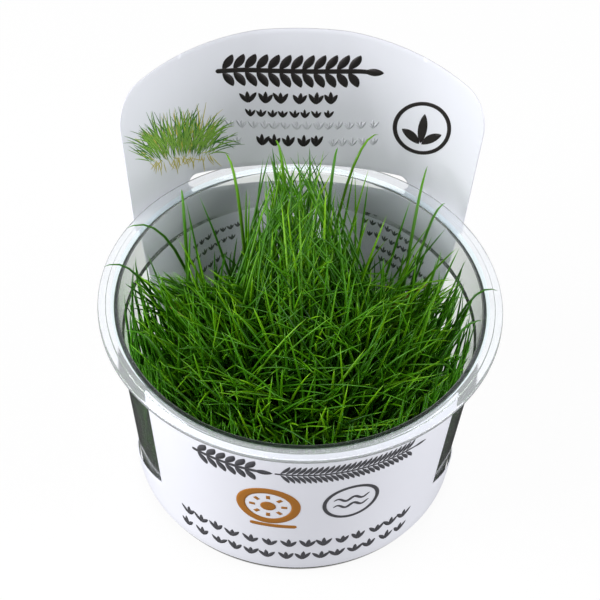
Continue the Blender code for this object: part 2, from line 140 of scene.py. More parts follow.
# Rows of sprigs: left end, right end, height, a sprig's height and a blade's half width
FRONT_SPRIGS = ((-32.8, 34.0, 15.0, 4.2, 0.6), (-34.0, 33.5, 8.6, 4.2, 0.6))
DARK_SPRIGS = ((-15.3, 11.4, 79.8, 4.0, 0.62), (-14.5, 9.9, 75.0, 2.6, 0.4), (-11.8, 6.3, 66.8, 3.6, 0.6))
FAINT_SPRIGS = ((-19.8, 21.5, 71.5, 2.6, 0.4), (-21.0, -15.0, 66.4, 2.6, 0.4), (9.0, 23.8, 66.4, 2.6, 0.4))
# Sloping rows of sprigs on the back inside the cup: left end, right end, and their heights there
INSIDE_SPRIGS = (
    (-34.0, -18.0, 36.7, 40.6),
    (-36.0, -20.0, 32.2, 36.2),
    (-34.5, -22.0, 26.8, 30.4),
    (21.0, 37.5, 42.8, 40.6),
    (23.0, 44.0, 38.4, 37.2),
    (26.0, 52.0, 34.4, 32.8),
    (28.0, 56.0, 31.0, 29.6),
)
# Places of the round signs' middles, and the fan of leaves: its middle, width, height and count
WAVE_SIGN = (12.9, 33.3)
OCHRE_SIGN = (-8.0, 32.6)
LEAF_SIGN = (34.2, 72.0)
FAN_PLACE = (-34.5, 61.5)
FAN_HALF_WIDTH = 9.5 * MM
FAN_HEIGHT = 13.0 * MM
FAN_BLADES = 260
FAN_INKS = (0, 1, 0, 1, 1, 0, 2)
FAN_ROOTS = 44
FRONT_PRINT_RADIUS = 46.0 * MM
TAB_PRINT_RADIUS = 53.0 * MM
PRINT_SMILE = 0.0052 / MM       # the tab's printed lines rise to both sides by this times x squared
UPRIGHT = 1.57
SPRIG_TURNS = (2.05, UPRIGHT, 1.09)
BAR_POINTS = 40
LEAF_POINTS = 14
RAY_POINTS = 8
RING_POINTS = 72
RING_ROWS = 5
WAVE_POINTS = 120

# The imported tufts: heights of their crowns' rings, and the shares at which their blades bend
CROWN_HEIGHTS = (9.3 * MM, 10.4 * MM, 11.6 * MM)
BLADE_STATIONS = (0.0, 0.07, 0.5, 1.0)
STRAY_STATIONS = (0.0, 0.06, 0.3, 0.55, 0.78, 1.0)
RING_TOLERANCE = 2e-6

# The grass's top: a dome that rises to the back, cut on both sides of its middle by a slope
PLANTED_RADIUS = 33.0 * MM
DOME_HEIGHT = 80.5 * MM
DOME_FALL = 20.0 * MM
BACK_RISE = 8.0 * MM
SLOPE_FOOT = 22.0 * MM
SLOPE = 1.065
MIDDLE_WIDTH = 8.0 * MM
MIDDLE_FADE = 8.0 * MM

# The finer blades: ranges of the crest's place on the way and of its rise, and reach in millimetres
TRIES = 10                      # lines tried for each blade that is wanted
FOOT_HEIGHT = GEL_TOP - 0.2 * MM
STRAY = 2.4 * MM                # how far the crests and curls stray
CLOSE_CREST = (0.4, 0.55)
CLOSE_BOW = (0.04, 0.2)
LONG_CREST = (0.4, 0.55)
LONG_BOW = (0.06, 0.24)
LONG_RUN = (12.0, 42.0)
LONG_OUTWARDS = 0.6
LONG_DEPTH = 0.8                # part of the mean depth that the tips hang under the grass's top
LONG_DROOP = 0.35               # most that they hang lower for each length of the way out
LAID_CREST = (0.35, 0.5)
LAID_BOW = (0.14, 0.34)
LAID_RUN = (24.0, 52.0)
LAID_DEPTH = (0.0, 6.0)
WALL_CREST = (0.4, 0.6)
WALL_HEIGHT = (26.0, 64.0)
WALL_HEIGHT_BACK = (18.0, 40.0)
WALL_BACK = 0.3                 # sine of the angle past which the blades along the wall are shorter
WALL_TUFT_RADIUS = 24.0 * MM    # tufts further out than this have blades along the wall
WALL_ANGLE = 0.24
WALL_LEAN = 0.16
WALL_INSET = 0.8 * MM
WALL_INSET_SPREAD = 1.6 * MM

# Room for the blades
OPENING = ((18.0 * MM, 21.0 * MM, 30.0 * MM), (30.0 * MM, 30.0 * MM, 58.0 * MM))
OPENING_MARGIN = 0.5 * MM
WALL_MARGIN = 0.6 * MM
LOWEST_TIP = 16.0 * MM
LINE_TESTS = 21

# The blades' rings, their tints from deep green to dry, and their tones from foot to point, which paint
# shade on the feet deep in the grass and light on the points at its top
RING_SHARES = (0.0, 0.12, 0.26, 0.39, 0.51, 0.62, 0.73, 0.83, 0.93)
BLADE_SIDES = 4
TINT_STOPS = (0.0, 0.45, 0.93, 0.975)
GREENEST = 0.93                 # highest tint of a living blade
TINT_SHAPE = 2.2                # both shape numbers of the tints' beta spread
DRY_SHARE = 0.008
# Painted light: the leads, which reach the grass's top, are tinted brighter
LEAD_LIGHT = 0.1
LEAD_LIMIT = 0.9
# Painted shade: the blades along the wall are tinted deeper
WALL_SHADE = 0.5                 # factor on the tint of the blades along the wall
# Painted shade: the tufts further to the sides lose part of their tint
SIDE_SHADE = 0.55               # part of the tint that the outermost tufts lose
# Painted light and shade: dark feet for the shade deep in the grass, pale points for the light on its top
LIGHT_AND_SHADE_TONES = (
    (0.0, (0.1, 0.1, 0.13)),
    (0.35, (0.36, 0.38, 0.38)),
    (0.75, (1.0, 1.0, 1.0)),
    (1.0, (1.6, 1.4, 2.0)),
)

# The stage: the floor's glow sets in under the base's edge, and the unglowing floor inside it is a painted
# contact shadow
WHITE = (1.0, 1.0, 1.0, 1.0)
FLOOR_HALF = 3.0
FLOOR_DROP = 0.2 * MM
GLOW = 0.93
GLOW_START = BASE_RADIUS - 0.5 * MM
GLOW_FULL = BASE_RADIUS - 0.1 * MM
GLOSSY_GLOW = 0.0
MATT_GLOW = 0.85
# The lights: name, place, target, side length, and the setting and factor that make their power
LIGHTS = (
    ("left_light", (-0.72, -0.16, 0.38), (0.0, 0.0, 0.05), 0.5, "sides", 1.25),
    ("right_light", (0.72, -0.16, 0.38), (0.0, 0.0, 0.05), 0.5, "sides", 0.85),
    ("top_light", (0.0, 0.1, 0.9), (0.0, 0.0, 0.06), 0.4, "top", 1.0),
)

# The camera of the photo
CAMERA_PLACE = (-12.24 * MM, -265.85 * MM, 357.02 * MM)
CAMERA_TARGET = (-0.17 * MM, 0.01 * MM, 58.0 * MM)
CAMERA_ROLL = math.radians(2.46)
CAMERA_LENS = 96.0
CAMERA_SENSOR = 36.0
CAMERA_NEAREST = 0.01


# Settings


def colour_property(name, description, default):
    return FloatVectorProperty(
        name=name, description=description, default=default, subtype="COLOR", size=3, min=0.0, max=1.0
    )


def length_property(name, description, default, low, high):
    return FloatProperty(
        name=name, description=description, default=default, min=low, max=high, unit="LENGTH"
    )


def count_property(name, description, default):
    return IntProperty(name=name, description=description, default=default, min=0, max=100)


def power_property(name, description, default):
    return FloatProperty(name=name, description=description, default=default, min=0.0, unit="POWER")


class CupSettings(bpy.types.PropertyGroup):
    plastic: colour_property("Plastic", "Tint over all of the cup", (1.0, 1.0, 1.0))
    gel: colour_property("Gel", "Colour that light takes on in the gel", (0.24, 0.30, 0.05))
    gloss: FloatProperty(
        name="Roughness", description="Roughness of the plastic", default=0.06, min=0.0, max=1.0
    )


class LabelSettings(bpy.types.PropertyGroup):
    sheet: colour_property("Sheet", "Colour of the printed sheet", (0.84, 0.85, 0.925))
    dark: colour_property("Dark ink", "Ink of the tab's heading", (0.018, 0.014, 0.015))
    grey: colour_property("Grey ink", "Ink of the front panel's lines", (0.07, 0.07, 0.08))
    ochre: colour_property("Ochre ink", "Ink of the front panel's round sign", (0.40, 0.15, 0.012))
    leaf: colour_property("Leaf ink", "Deeper green of the printed leaves", (0.07, 0.21, 0.03))
    shoot: colour_property("Shoot ink", "Lighter green of the printed leaves", (0.22, 0.42, 0.06))
    straw: colour_property("Straw ink", "Yellow of the printed leaves", (0.62, 0.55, 0.10))
    lift: length_property(
        "Ink height", "Height of the ink's face over the sheet", 0.04 * MM, 0.01 * MM, 0.2 * MM
    )


class GrassSettings(bpy.types.PropertyGroup):
    close: count_property("Close blades", "Blades of each tuft between its leads", 3)
    long: count_property("Long blades", "Blades of each tuft that arch further out", 18)
    laid: count_property("Laid blades", "Blades of each tuft that arch low over the others", 15)
    wall: count_property("Wall blades", "Blades of each outer tuft along the wall", 42)
    thin: length_property(
        "Thinnest", "Radius of the finest blade at its foot", 0.34 * MM, 0.05 * MM, 1.0 * MM
    )
    thick: length_property(
        "Thickest", "Radius of the stoutest blade at its foot", 0.51 * MM, 0.05 * MM, 1.0 * MM
    )
    spread: length_property(
        "Spread", "Radius that a tuft's blades stand in", 4.2 * MM, 1.0 * MM, 8.0 * MM
    )
    scatter: length_property(
        "Scatter", "How far a finer blade's tip may stray from the leads' tips", 4.5 * MM, 0.0, 15.0 * MM
    )
    depth: length_property(
        "Depth", "Mean depth of the finer blades' tips in the grass", 7.0 * MM, 0.0, 30.0 * MM
    )
    deep: colour_property("Deep green", "Darkest of the blades", (0.013, 0.085, 0.001))
    green: colour_property("Green", "Most of the blades", (0.058, 0.235, 0.002))
    bright: colour_property("Bright green", "Lightest of the blades", (0.21, 0.49, 0.006))
    dry: colour_property("Dry", "Withered blades", (0.38, 0.24, 0.045))


class StageSettings(bpy.types.PropertyGroup):
    floor: colour_property("Floor", "Colour of the floor", (0.04, 0.04, 0.04))
    sides: power_property("Side lights", "Power of each side light", 6.0)
    top: power_property("Top light", "Power of the light over the mouth", 2.0)
    ambient: FloatProperty(
        name="Surroundings", description="Brightness of the surroundings", default=0.2, min=0.0
    )


# Meshes


def grid_quads(rows, columns, wrap=False):
    """Quads of a grid whose points are numbered row by row. Wrap joins its last column to the first."""
    row = np.arange(rows - 1)[:, None]
    column = np.arange(columns if wrap else columns - 1)[None, :]
    after = (column + 1) % columns
    corners = (row * columns + column, (row + 1) * columns + column)
    corners += ((row + 1) * columns + after, row * columns + after)
    return np.stack(corners, axis=2).reshape(-1, 4)


def add_piece(name, points, faces, finish, replaced=None, values=None):
    """A smooth mesh of the points and faces, riding on the part, with named values for each point.

    replaced names the CAD node that it stands for.
    """
    mesh = bpy.data.meshes.new(name)
    mesh.from_pydata(points.tolist(), [], [face for group in faces for face in group.tolist()])
    for key, numbers in (values or {}).items():
        mesh.attributes.new(key, "FLOAT", "POINT").data.foreach_set("value", numbers)
    mesh.materials.append(finish)
    mesh.shade_smooth()
    piece = bpy.data.objects.new(name, mesh)
    bpy.context.scene.collection.objects.link(piece)
    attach(piece, "root")
    if replaced:
        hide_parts(replaced)
    return piece


def thicken(piece, thickness):
    """Gives an open sheet its thickness, inwards from its face, and keeps its shading off the rims."""
    solid = piece.modifiers.new("thickness", "SOLIDIFY")
    solid.thickness = thickness
    solid.offset = -1.0
    solid.use_even_offset = True
    piece.modifiers.new("shading", "WEIGHTED_NORMAL").weight = SHADING_WEIGHT


def filleted(pairs):
    """The polygon of (corner, radius) pairs with each corner replaced by a quadratic arc.

    An arc's ends a and b lie radius * tan(turn / 2) from the corner c on its two sides, and its
    points are (1 - t)^2 a + 2 t (1 - t) c + t^2 b.
    """
    corners, radii = (np.array(part) for part in zip(*pairs))
    before = np.roll(corners, 1, axis=0) - corners
    after = np.roll(corners, -1, axis=0) - corners
    before[0] = -after[0]
    after[-1] = -before[-1]
    before /= np.linalg.norm(before, axis=1)[:, None]
    after /= np.linalg.norm(after, axis=1)[:, None]
    turn = math.pi - np.arccos(np.clip((before * after).sum(axis=1), -1.0, 1.0))
    cut = (radii * np.tan(0.5 * turn))[:, None]
    share = np.linspace(0.0, 1.0, FILLET_POINTS)[None, :, None]
    start = (corners + cut * before)[:, None]
    end = (corners + cut * after)[:, None]
    arcs = (1 - share) ** 2 * start + 2 * share * (1 - share) * corners[:, None] + share**2 * end
    line = arcs.reshape(-1, 2)
    new = np.linalg.norm(np.diff(line, axis=0, prepend=line[:1] - 1.0), axis=1) > 1e-7
    return line[new]


def turned(profile, segments):
    """Points and faces of (r cos a, r sin a, z) over a profile (r, z) and even angles a.

    The profile starts and ends on the axis, where the surface closes in a pole.
    """
    angle = np.linspace(0.0, math.tau, segments, endpoint=False)
    radius, height = profile[1:-1, 0, None], profile[1:-1, 1, None]
    rings = np.stack([radius * np.cos(angle), radius * np.sin(angle), height + 0.0 * angle], axis=2)
    poles = np.array([(0.0, 0.0, profile[0, 1]), (0.0, 0.0, profile[-1, 1])])
    points = np.concatenate([rings.reshape(-1, 3), poles])
    count = len(profile) - 2
    first = np.arange(segments)
    after = (first + 1) % segments
    last = first + (count - 1) * segments
    top = np.stack([np.full(segments, count * segments), first, after], axis=1)
    foot = np.stack([np.full(segments, count * segments + 1), after + last[0], last], axis=1)
    return points, (grid_quads(count, segments, wrap=True), top, foot)


# Finishes


def new_finish(name, colour, roughness):
    """A material with its nodes, a link function and its shader."""
    finish = bpy.data.materials.new(name)
    finish.use_nodes = True
    nodes = finish.node_tree.nodes
    shader = nodes["Principled BSDF"]
    shader.inputs["Base Color"].default_value = (*colour, 1.0)
    shader.inputs["Roughness"].default_value = roughness
    return finish, nodes, finish.node_tree.links.new, shader


def noise(nodes, link, size, detail, stretch=(1.0, 1.0, 1.0)):
    """A noise pattern in the part's own space with features of about the given size."""
    place = nodes.new("ShaderNodeTexCoord")
    mapping = nodes.new("ShaderNodeMapping")
    pattern = nodes.new("ShaderNodeTexNoise")
    mapping.inputs["Scale"].default_value = stretch
    pattern.inputs["Scale"].default_value = 1.0 / size
    pattern.inputs["Detail"].default_value = detail
    link(place.outputs["Object"], mapping.inputs["Vector"])
    link(mapping.outputs["Vector"], pattern.inputs["Vector"])
    return pattern.outputs["Fac"]


def spread_over(nodes, link, value, low, high, start=0.3, end=0.7):
    """The value's range from start to end turned into numbers from low to high, and held there.

    Without other ends, it is the range that a noise pattern mostly keeps to.
    """
    spread = nodes.new("ShaderNodeMapRange")
    for key, number in (("From Min", start), ("From Max", end), ("To Min", low), ("To Max", high)):
        spread.inputs[key].default_value = number
    link(value, spread.inputs["Value"])
    return spread.outputs["Result"]


def bump(nodes, link, shader, pattern, height):
    """Bumps of the given height on the shader's surface."""
    bumps = nodes.new("ShaderNodeBump")
    bumps.inputs["Distance"].default_value = height
    bumps.inputs["Strength"].default_value = 1.0
    link(pattern, bumps.inputs["Height"])
    link(bumps.outputs["Normal"], shader.inputs["Normal"])


def mixed(nodes, link, kind, factor, first, second):
    """A colour mix of the given kind. Factor, first and second are numbers, colours or sockets."""
    mix = nodes.new("ShaderNodeMix")
    mix.data_type = "RGBA"
    mix.blend_type = kind
    for socket, value in ((mix.inputs[0], factor), (mix.inputs[6], first), (mix.inputs[7], second)):
        if isinstance(value, bpy.types.NodeSocket):
            link(value, socket)
        else:
            socket.default_value = value if isinstance(value, float) else (*value, 1.0)
    return mix.outputs[2]


def ramped(nodes, link, attribute, stops):
    """The mesh's own attribute turned into a colour by stops, each a place from 0 to 1 and a colour."""
    value = nodes.new("ShaderNodeAttribute")
    value.attribute_name = attribute
    ramp = nodes.new("ShaderNodeValToRGB")
    elements = ramp.color_ramp.elements
    while len(elements) < len(stops):
        elements.new(0.5)
    for element, (place, colour) in zip(elements, stops):
        element.position = place
        element.color = (*colour, 1.0)
    link(value.outputs["Fac"], ramp.inputs["Fac"])
    return ramp.outputs["Color"]


def plastic_finish(name, colour, clearness, settings):
    """Clear plastic with shallow unevenness from the mould and fine wear in its gloss."""
    tint = tuple(part * share for part, share in zip(colour, settings.plastic))
    finish, nodes, link, shader = new_finish(name, tint, settings.gloss)
    shader.inputs["Transmission Weight"].default_value = clearness
    shader.inputs["IOR"].default_value = PLASTIC_IOR
    bump(nodes, link, shader, noise(nodes, link, size=9.0 * MM, detail=1.0), height=0.02 * MM)
    wear = noise(nodes, link, size=3.0 * MM, detail=4.0)
    rough = spread_over(nodes, link, wear, settings.gloss * 0.6, settings.gloss * 2.0)
    link(rough, shader.inputs["Roughness"])
    return finish


def gel_finish(settings):
    """Half clear gel, clouded to a darker tone and faintly uneven."""
    finish, nodes, link, shader = new_finish("culture_gel", settings.gel, roughness=0.12)
    shader.inputs["Transmission Weight"].default_value = GEL_CLEARNESS
    shader.inputs["IOR"].default_value = GEL_IOR
    cloud = noise(nodes, link, size=6.0 * MM, detail=3.0)
    dark = tuple(0.45 * part for part in settings.gel)
    link(mixed(nodes, link, "MIX", cloud, settings.gel, dark), shader.inputs["Base Color"])
    bump(nodes, link, shader, cloud, height=0.2 * MM)
    return finish


def sheet_finish(settings):
    """Coated sheet with a faint cloud in its colour and a fine grain in its gloss."""
    finish, nodes, link, shader = new_finish("label_sheet", settings.sheet, roughness=0.34)
    shader.inputs["IOR"].default_value = SHEET_IOR
    grain = noise(nodes, link, size=0.5 * MM, detail=3.0)
    cloud = noise(nodes, link, size=18.0 * MM, detail=2.0)
    shade = tuple(0.965 * part for part in settings.sheet)
    link(mixed(nodes, link, "MIX", cloud, settings.sheet, shade), shader.inputs["Base Color"])
    link(spread_over(nodes, link, grain, low=0.30, high=0.40), shader.inputs["Roughness"])
    bump(nodes, link, shader, grain, height=0.006 * MM)
    return finish


def ink_finish(name, colour):
    """Printing ink, speckled a little paler."""
    finish, nodes, link, shader = new_finish(name, colour, roughness=0.38)
    shader.inputs["Specular IOR Level"].default_value = 0.3
    speckle = noise(nodes, link, size=0.35 * MM, detail=3.0)
    thin = tuple(part + 0.012 for part in colour)
    link(mixed(nodes, link, "MIX", speckle, colour, thin), shader.inputs["Base Color"])
    link(spread_over(nodes, link, speckle, low=0.32, high=0.46), shader.inputs["Roughness"])
    return finish


def grass_finish(settings):
    """Blades by their own tint, darker at the foot as painted shade deep in the grass and paler at the
    point as painted light on its top, with fine streaks.
    """
    finish, nodes, link, shader = new_finish("grass", settings.green, roughness=0.4)
    shader.inputs["Specular IOR Level"].default_value = 0.35
    greens = (settings.deep, settings.green, settings.bright, settings.dry)
    green = ramped(nodes, link, "tint", tuple(zip(TINT_STOPS, greens)))
    # Painted shade at the blades' feet and painted light at their points
    tone = ramped(nodes, link, "share", LIGHT_AND_SHADE_TONES)
    toned = mixed(nodes, link, "MULTIPLY", 1.0, green, tone)
    streak = noise(nodes, link, size=1.2 * MM, detail=3.0, stretch=(1.0, 1.0, 0.3))
    worn = mixed(nodes, link, "MULTIPLY", streak, toned, (0.72, 0.78, 0.7))
    link(worn, shader.inputs["Base Color"])
    link(spread_over(nodes, link, streak, low=0.28, high=0.46), shader.inputs["Roughness"])
    bump(nodes, link, shader, streak, height=0.05 * MM)
    return finish


def floor_finish(settings):
    """A matt floor that glows from just inside the base's edge outwards, as plain pale ground, and stays
    dark inside that as a painted contact shadow under the base.

    Mirror-like reflections get none of the glow, so the label's open sides stay dark, and matt
    surfaces get a little less of it than the camera sees.
    """
    finish, nodes, link, shader = new_finish("floor", settings.floor, roughness=0.8)
    shader.inputs["Emission Color"].default_value = WHITE
    place = nodes.new("ShaderNodeTexCoord")
    reach = nodes.new("ShaderNodeVectorMath")
    reach.operation = "LENGTH"
    link(place.outputs["Object"], reach.inputs[0])
    # No glow under the cup: a painted contact shadow, seen through the clear base
    glow = spread_over(nodes, link, reach.outputs["Value"], 0.0, GLOW, GLOW_START, GLOW_FULL)
    rays = nodes.new("ShaderNodeLightPath")
    for depth, kept in (("Glossy Depth", GLOSSY_GLOW), ("Diffuse Depth", MATT_GLOW)):
        faded = nodes.new("ShaderNodeMath")
        faded.operation = "MULTIPLY"
        link(glow, faded.inputs[0])
        link(spread_over(nodes, link, rays.outputs[depth], 1.0, kept, 0.0, 1.0), faded.inputs[1])
        glow = faded.outputs["Value"]
    link(glow, shader.inputs["Emission Strength"])
    finish.cycles.emission_sampling = "NONE"
    return finish


# Cup and gel


def wall_radius(height):
    """Outside radius of the wall: the base's radius + slope * height."""
    return BASE_RADIUS + WALL_SLOPE * height


def cup_profile():
    """The cup's section: floor, inside wall, small ledge, mouth, flange, outside wall and base."""
    under = CUP_HEIGHT - FLANGE_THICKNESS
    ledge = STEP_HEIGHT - STEP_DROP
    return filleted((
        ((0.0, FLOOR), 0.0),
        ((wall_radius(FLOOR) - WALL, FLOOR), 1.6 * MM),
        ((wall_radius(ledge) - WALL, ledge), 0.4 * MM),
        ((STEP_RADIUS, STEP_HEIGHT), 0.35 * MM),
        ((MOUTH_RADIUS, CUP_HEIGHT - MOUTH_DROP), 0.5 * MM),
        ((MOUTH_LIP_RADIUS, CUP_HEIGHT), 0.5 * MM),
        ((SEAT_RADIUS, CUP_HEIGHT), 0.1 * MM),
        ((SEAT_RADIUS + SEAT_DROP, CUP_HEIGHT - SEAT_DROP), 0.1 * MM),
        ((FLANGE_RADIUS, CUP_HEIGHT - SEAT_DROP), 0.5 * MM),
        ((FLANGE_RADIUS, under), 0.4 * MM),
        ((wall_radius(under), under), 0.4 * MM),
        ((BASE_RADIUS, 0.0), 1.0 * MM),
        ((0.0, 0.0), 0.0),
    ))


def plastic_kinds(middles):
    """Number in PLASTICS of each face of the cup, from the radius and height of its middle.

    The flange is all that lies outside the seat, the top outside the mouth's lip, and the bend at
    the mouth's inner edge, whose clouding there is a painted highlight. The mouth is the rest of the top,
    the band is the inside wall over the ledge, and the base is the outside under the sleeve's foot, tinted
    as painted shade.
    """
    reach = np.hypot(middles[:, 0], middles[:, 1])
    height = middles[:, 2]
    top = height > CUP_HEIGHT - 0.6 * MM
    # Painted highlight: the bend at the mouth's inner edge takes the flange's clouded plastic so that it
    # shows as a light line
    lip = (np.abs(reach - MOUTH_RADIUS) < MOUTH_BEND) & (height > CUP_HEIGHT - MOUTH_DROP - 0.5 * MM)
    flange = (top & (reach > MOUTH_LIP_RADIUS - 0.1 * MM)) | (reach > SEAT_RADIUS) | lip
    mouth = (height > CUP_HEIGHT - MOUTH_DROP - 0.02 * MM) & (reach > MOUTH_RADIUS)
    inner = reach < wall_radius(height) - 0.5 * WALL
    band = inner & (height > STEP_HEIGHT - STEP_DROP - 0.2 * MM)
    # The outside under the sleeve's foot takes the dark olive plastic, a painted shade
    base = ~inner & (height < SLEEVE_FOOT)
    return np.select([flange, mouth, band, base], [FLANGE, MOUTH, BAND, BASE], CLEAR).astype(np.int32)


def gel_profile():
    """The gel's section from its top, which climbs the wall by half a millimetre, to its underside."""
    low = FLOOR + GEL_GAP
    edge = wall_radius(GEL_TOP) - WALL - GEL_GAP
    return filleted((
        ((0.0, GEL_TOP - 0.2 * MM), 0.0),
        ((edge - 1.6 * MM, GEL_TOP - 0.1 * MM), 1.2 * MM),
        ((edge, GEL_TOP + 0.5 * MM), 0.1 * MM),
        ((wall_radius(low) - WALL - GEL_GAP, low), 1.6 * MM),
        ((0.0, low), 0.0),
    ))


class HAIRGRASS_OT_cup(bpy.types.Operator):
    """Make the clear cup: its section turned round the axis, with a clouded mouth and flange"""

    bl_idname = "hairgrass.cup"
    bl_label = "Cup"

    def execute(self, context):
        points, faces = turned(cup_profile(), CUP_SEGMENTS)
        finishes = [plastic_finish(*plastic, context.scene.hairgrass_cup) for plastic in PLASTICS]
        cup = add_piece("clear_cup", points, faces, finishes[CLEAR], "cup")
        for finish in finishes[1:]:
            cup.data.materials.append(finish)
        middles = np.empty(3 * len(cup.data.polygons), np.float32)
        cup.data.polygons.foreach_get("center", middles)
        cup.data.polygons.foreach_set("material_index", plastic_kinds(middles.reshape(-1, 3)))
        # The lights reach the label's inner face through the cup
        cup.visible_shadow = False
        return {"FINISHED"}


class HAIRGRASS_OT_gel(bpy.types.Operator):
    """Make the culture gel: its section turned round the axis"""

    bl_idname = "hairgrass.gel"
    bl_label = "Gel"

    def execute(self, context):
        points, faces = turned(gel_profile(), GEL_SEGMENTS)
        finish = gel_finish(context.scene.hairgrass_cup)
        add_piece("culture_gel", points, faces, finish, "nutrient_gel")
        return {"FINISHED"}


# Label


def hugging_radius(height):
    """Radius of the sleeve's outer face where it hugs the wall."""
    return wall_radius(height) + CLEARANCE + SHEET


def side_radius(height):
    """Outside radius of the back's sides: two slopes joined by a hyperbola at the bend.

    r = bend radius + mean slope * d - half slope change * (sqrt(d^2 + rounding^2) - rounding), where
    d is the height above the bend.
    """
    lower = (BEND_RADIUS - hugging_radius(SLEEVE_FOOT)) / (BEND_HEIGHT - SLEEVE_FOOT)
    upper = math.tan(TAB_TAPER)
    above = height - BEND_HEIGHT
    turn = np.hypot(above, BEND_ROUNDING) - BEND_ROUNDING
    return BEND_RADIUS + 0.5 * (lower + upper) * above - 0.5 * (lower - upper) * turn


def back_radius(angle, height):
    """Outside radius of the back: the smaller of its sides' radius and a flat arc across its middle.

    The arc's own radius is R and its middle follows the wall up to the rim. From a centre at
    c = R - middle its points lie at sqrt(R^2 - c^2 sin^2 a) - c cos a. Above the rim the middle
    comes up to the sides' radius by e^(-height / fade).
    """
    side = side_radius(height)
    widest = side_radius(CUP_HEIGHT) - hugging_radius(CUP_HEIGHT)
    fading = widest * np.exp(-np.maximum(height - CUP_HEIGHT, 0.0) / FLAT_FADE)
    dent = np.where(height > CUP_HEIGHT, fading, side - hugging_radius(height))
    centre = PLAN_RADIUS - side + dent
    across = centre * np.sin(np.clip(angle, -BACK_HALF_ANGLE, BACK_HALF_ANGLE))
    flat = np.sqrt(PLAN_RADIUS**2 - across**2) - np.sqrt(centre**2 - across**2)
    return 0.5 * (flat + side) - 0.5 * np.hypot(flat - side, PLAN_ROUNDING * dent / widest)


def sleeve(angle, height, lift=0.0):
    """Points (r sin a, r cos a, z) of the label's outer face, moved outwards by lift.

    The angle a is measured from +Y towards +X. The radius hugs the wall at the front and leans out at
    the back, and a smoothstep of the angle joins the two across the open sides.
    """
    angle, height = np.broadcast_arrays(angle, height)
    signed = (angle + math.pi) % math.tau - math.pi
    front_edge = math.pi - FRONT_HALF_ANGLE
    share = np.clip((front_edge - np.abs(signed)) / (front_edge - BACK_HALF_ANGLE), 0.0, 1.0)
    share = share * share * (3.0 - 2.0 * share)
    hugging = hugging_radius(height)
    radius = hugging + (back_radius(signed, height) - hugging) * share + lift
    return np.stack([radius * np.sin(angle), radius * np.cos(angle), height], axis=-1)


def foot_edge(angle):
    """Height of the open sides' lower edge: a hyperbola whose two arms rise from a dip at the side."""
    run = FOOT_EDGE_SLOPE * wall_radius(VERTEX_HEIGHT)
    half = run * (math.pi / 2 - FRONT_HALF_ANGLE)
    dip = VERTEX_HEIGHT - (math.hypot(half, FOOT_EDGE_ROUNDING) - FOOT_EDGE_ROUNDING)
    offset = run * (np.abs(angle) - math.pi / 2)
    return dip + np.hypot(offset, FOOT_EDGE_ROUNDING) - FOOT_EDGE_ROUNDING


def slot_edges(angle):
    """Heights of the slot's lower and upper edge: m -/+ sqrt(h^2 - d^2), d being the way into its end."""
    middle, reach = 0.5 * (SLOT_LOW + SLOT_HIGH), 0.5 * (SLOT_HIGH - SLOT_LOW)
    into_end = np.maximum(np.abs(angle) - SLOT_HALF_ANGLE, 0.0) * BEND_RADIUS
    half = np.sqrt(np.maximum(reach**2 - into_end**2, 0.0))
    return middle - half, middle + half


def tab_edge():
    """The back's columns as angles and heights of the top edge: a shallow arc and two round corners.

    The arc's height is its centre + sqrt(R^2 - x^2), and a corner's is its own centre +
    sqrt(r^2 - d^2), d being the way into the corner. Columns crowd at the slot's ends.
    """
    edge = BACK_HALF_ANGLE * TAB_MEAN_RADIUS
    start = math.asin((edge - TAB_CORNER) / (TAB_TOP_ARC - TAB_CORNER))
    corner_start = TAB_TOP_ARC * math.sin(start)
    turn = np.linspace(0.0, math.pi / 2, SLOT_END_COLUMNS)
    slot_end = SLOT_HALF_ANGLE + 0.5 * (SLOT_HIGH - SLOT_LOW) / BEND_RADIUS * np.sin(turn)
    corner = start + (math.pi / 2 - start) * np.linspace(0.0, 1.0, CORNER_COLUMNS)[1:]
    across = np.linspace(0.0, corner_start, TAB_COLUMNS)
    across = across[(across < TAB_MEAN_RADIUS * slot_end[0]) | (across > TAB_MEAN_RADIUS * slot_end[-1])]
    across = np.sort(np.append(across, TAB_MEAN_RADIUS * slot_end))
    across = np.concatenate([across, edge - TAB_CORNER * (1.0 - np.sin(corner))])
    arc = TAB_TOP - TAB_TOP_ARC + np.sqrt(TAB_TOP_ARC**2 - across**2)
    centre = TAB_TOP - TAB_TOP_ARC + (TAB_TOP_ARC - TAB_CORNER) * math.cos(start)
    into_corner = np.clip(across - edge + TAB_CORNER, 0.0, TAB_CORNER)
    height = np.where(across > corner_start, centre + np.sqrt(TAB_CORNER**2 - into_corner**2), arc)
    across = np.concatenate([-across[:0:-1], across])
    height = np.concatenate([height[:0:-1], height])
    return across / TAB_MEAN_RADIUS, height


def between(low, high, rows):
    """Heights low (1 - s) + high s in even steps of s, one row of them for each column."""
    share = np.linspace(0.0, 1.0, rows)
    return low[:, None] * (1.0 - share) + high[:, None] * share


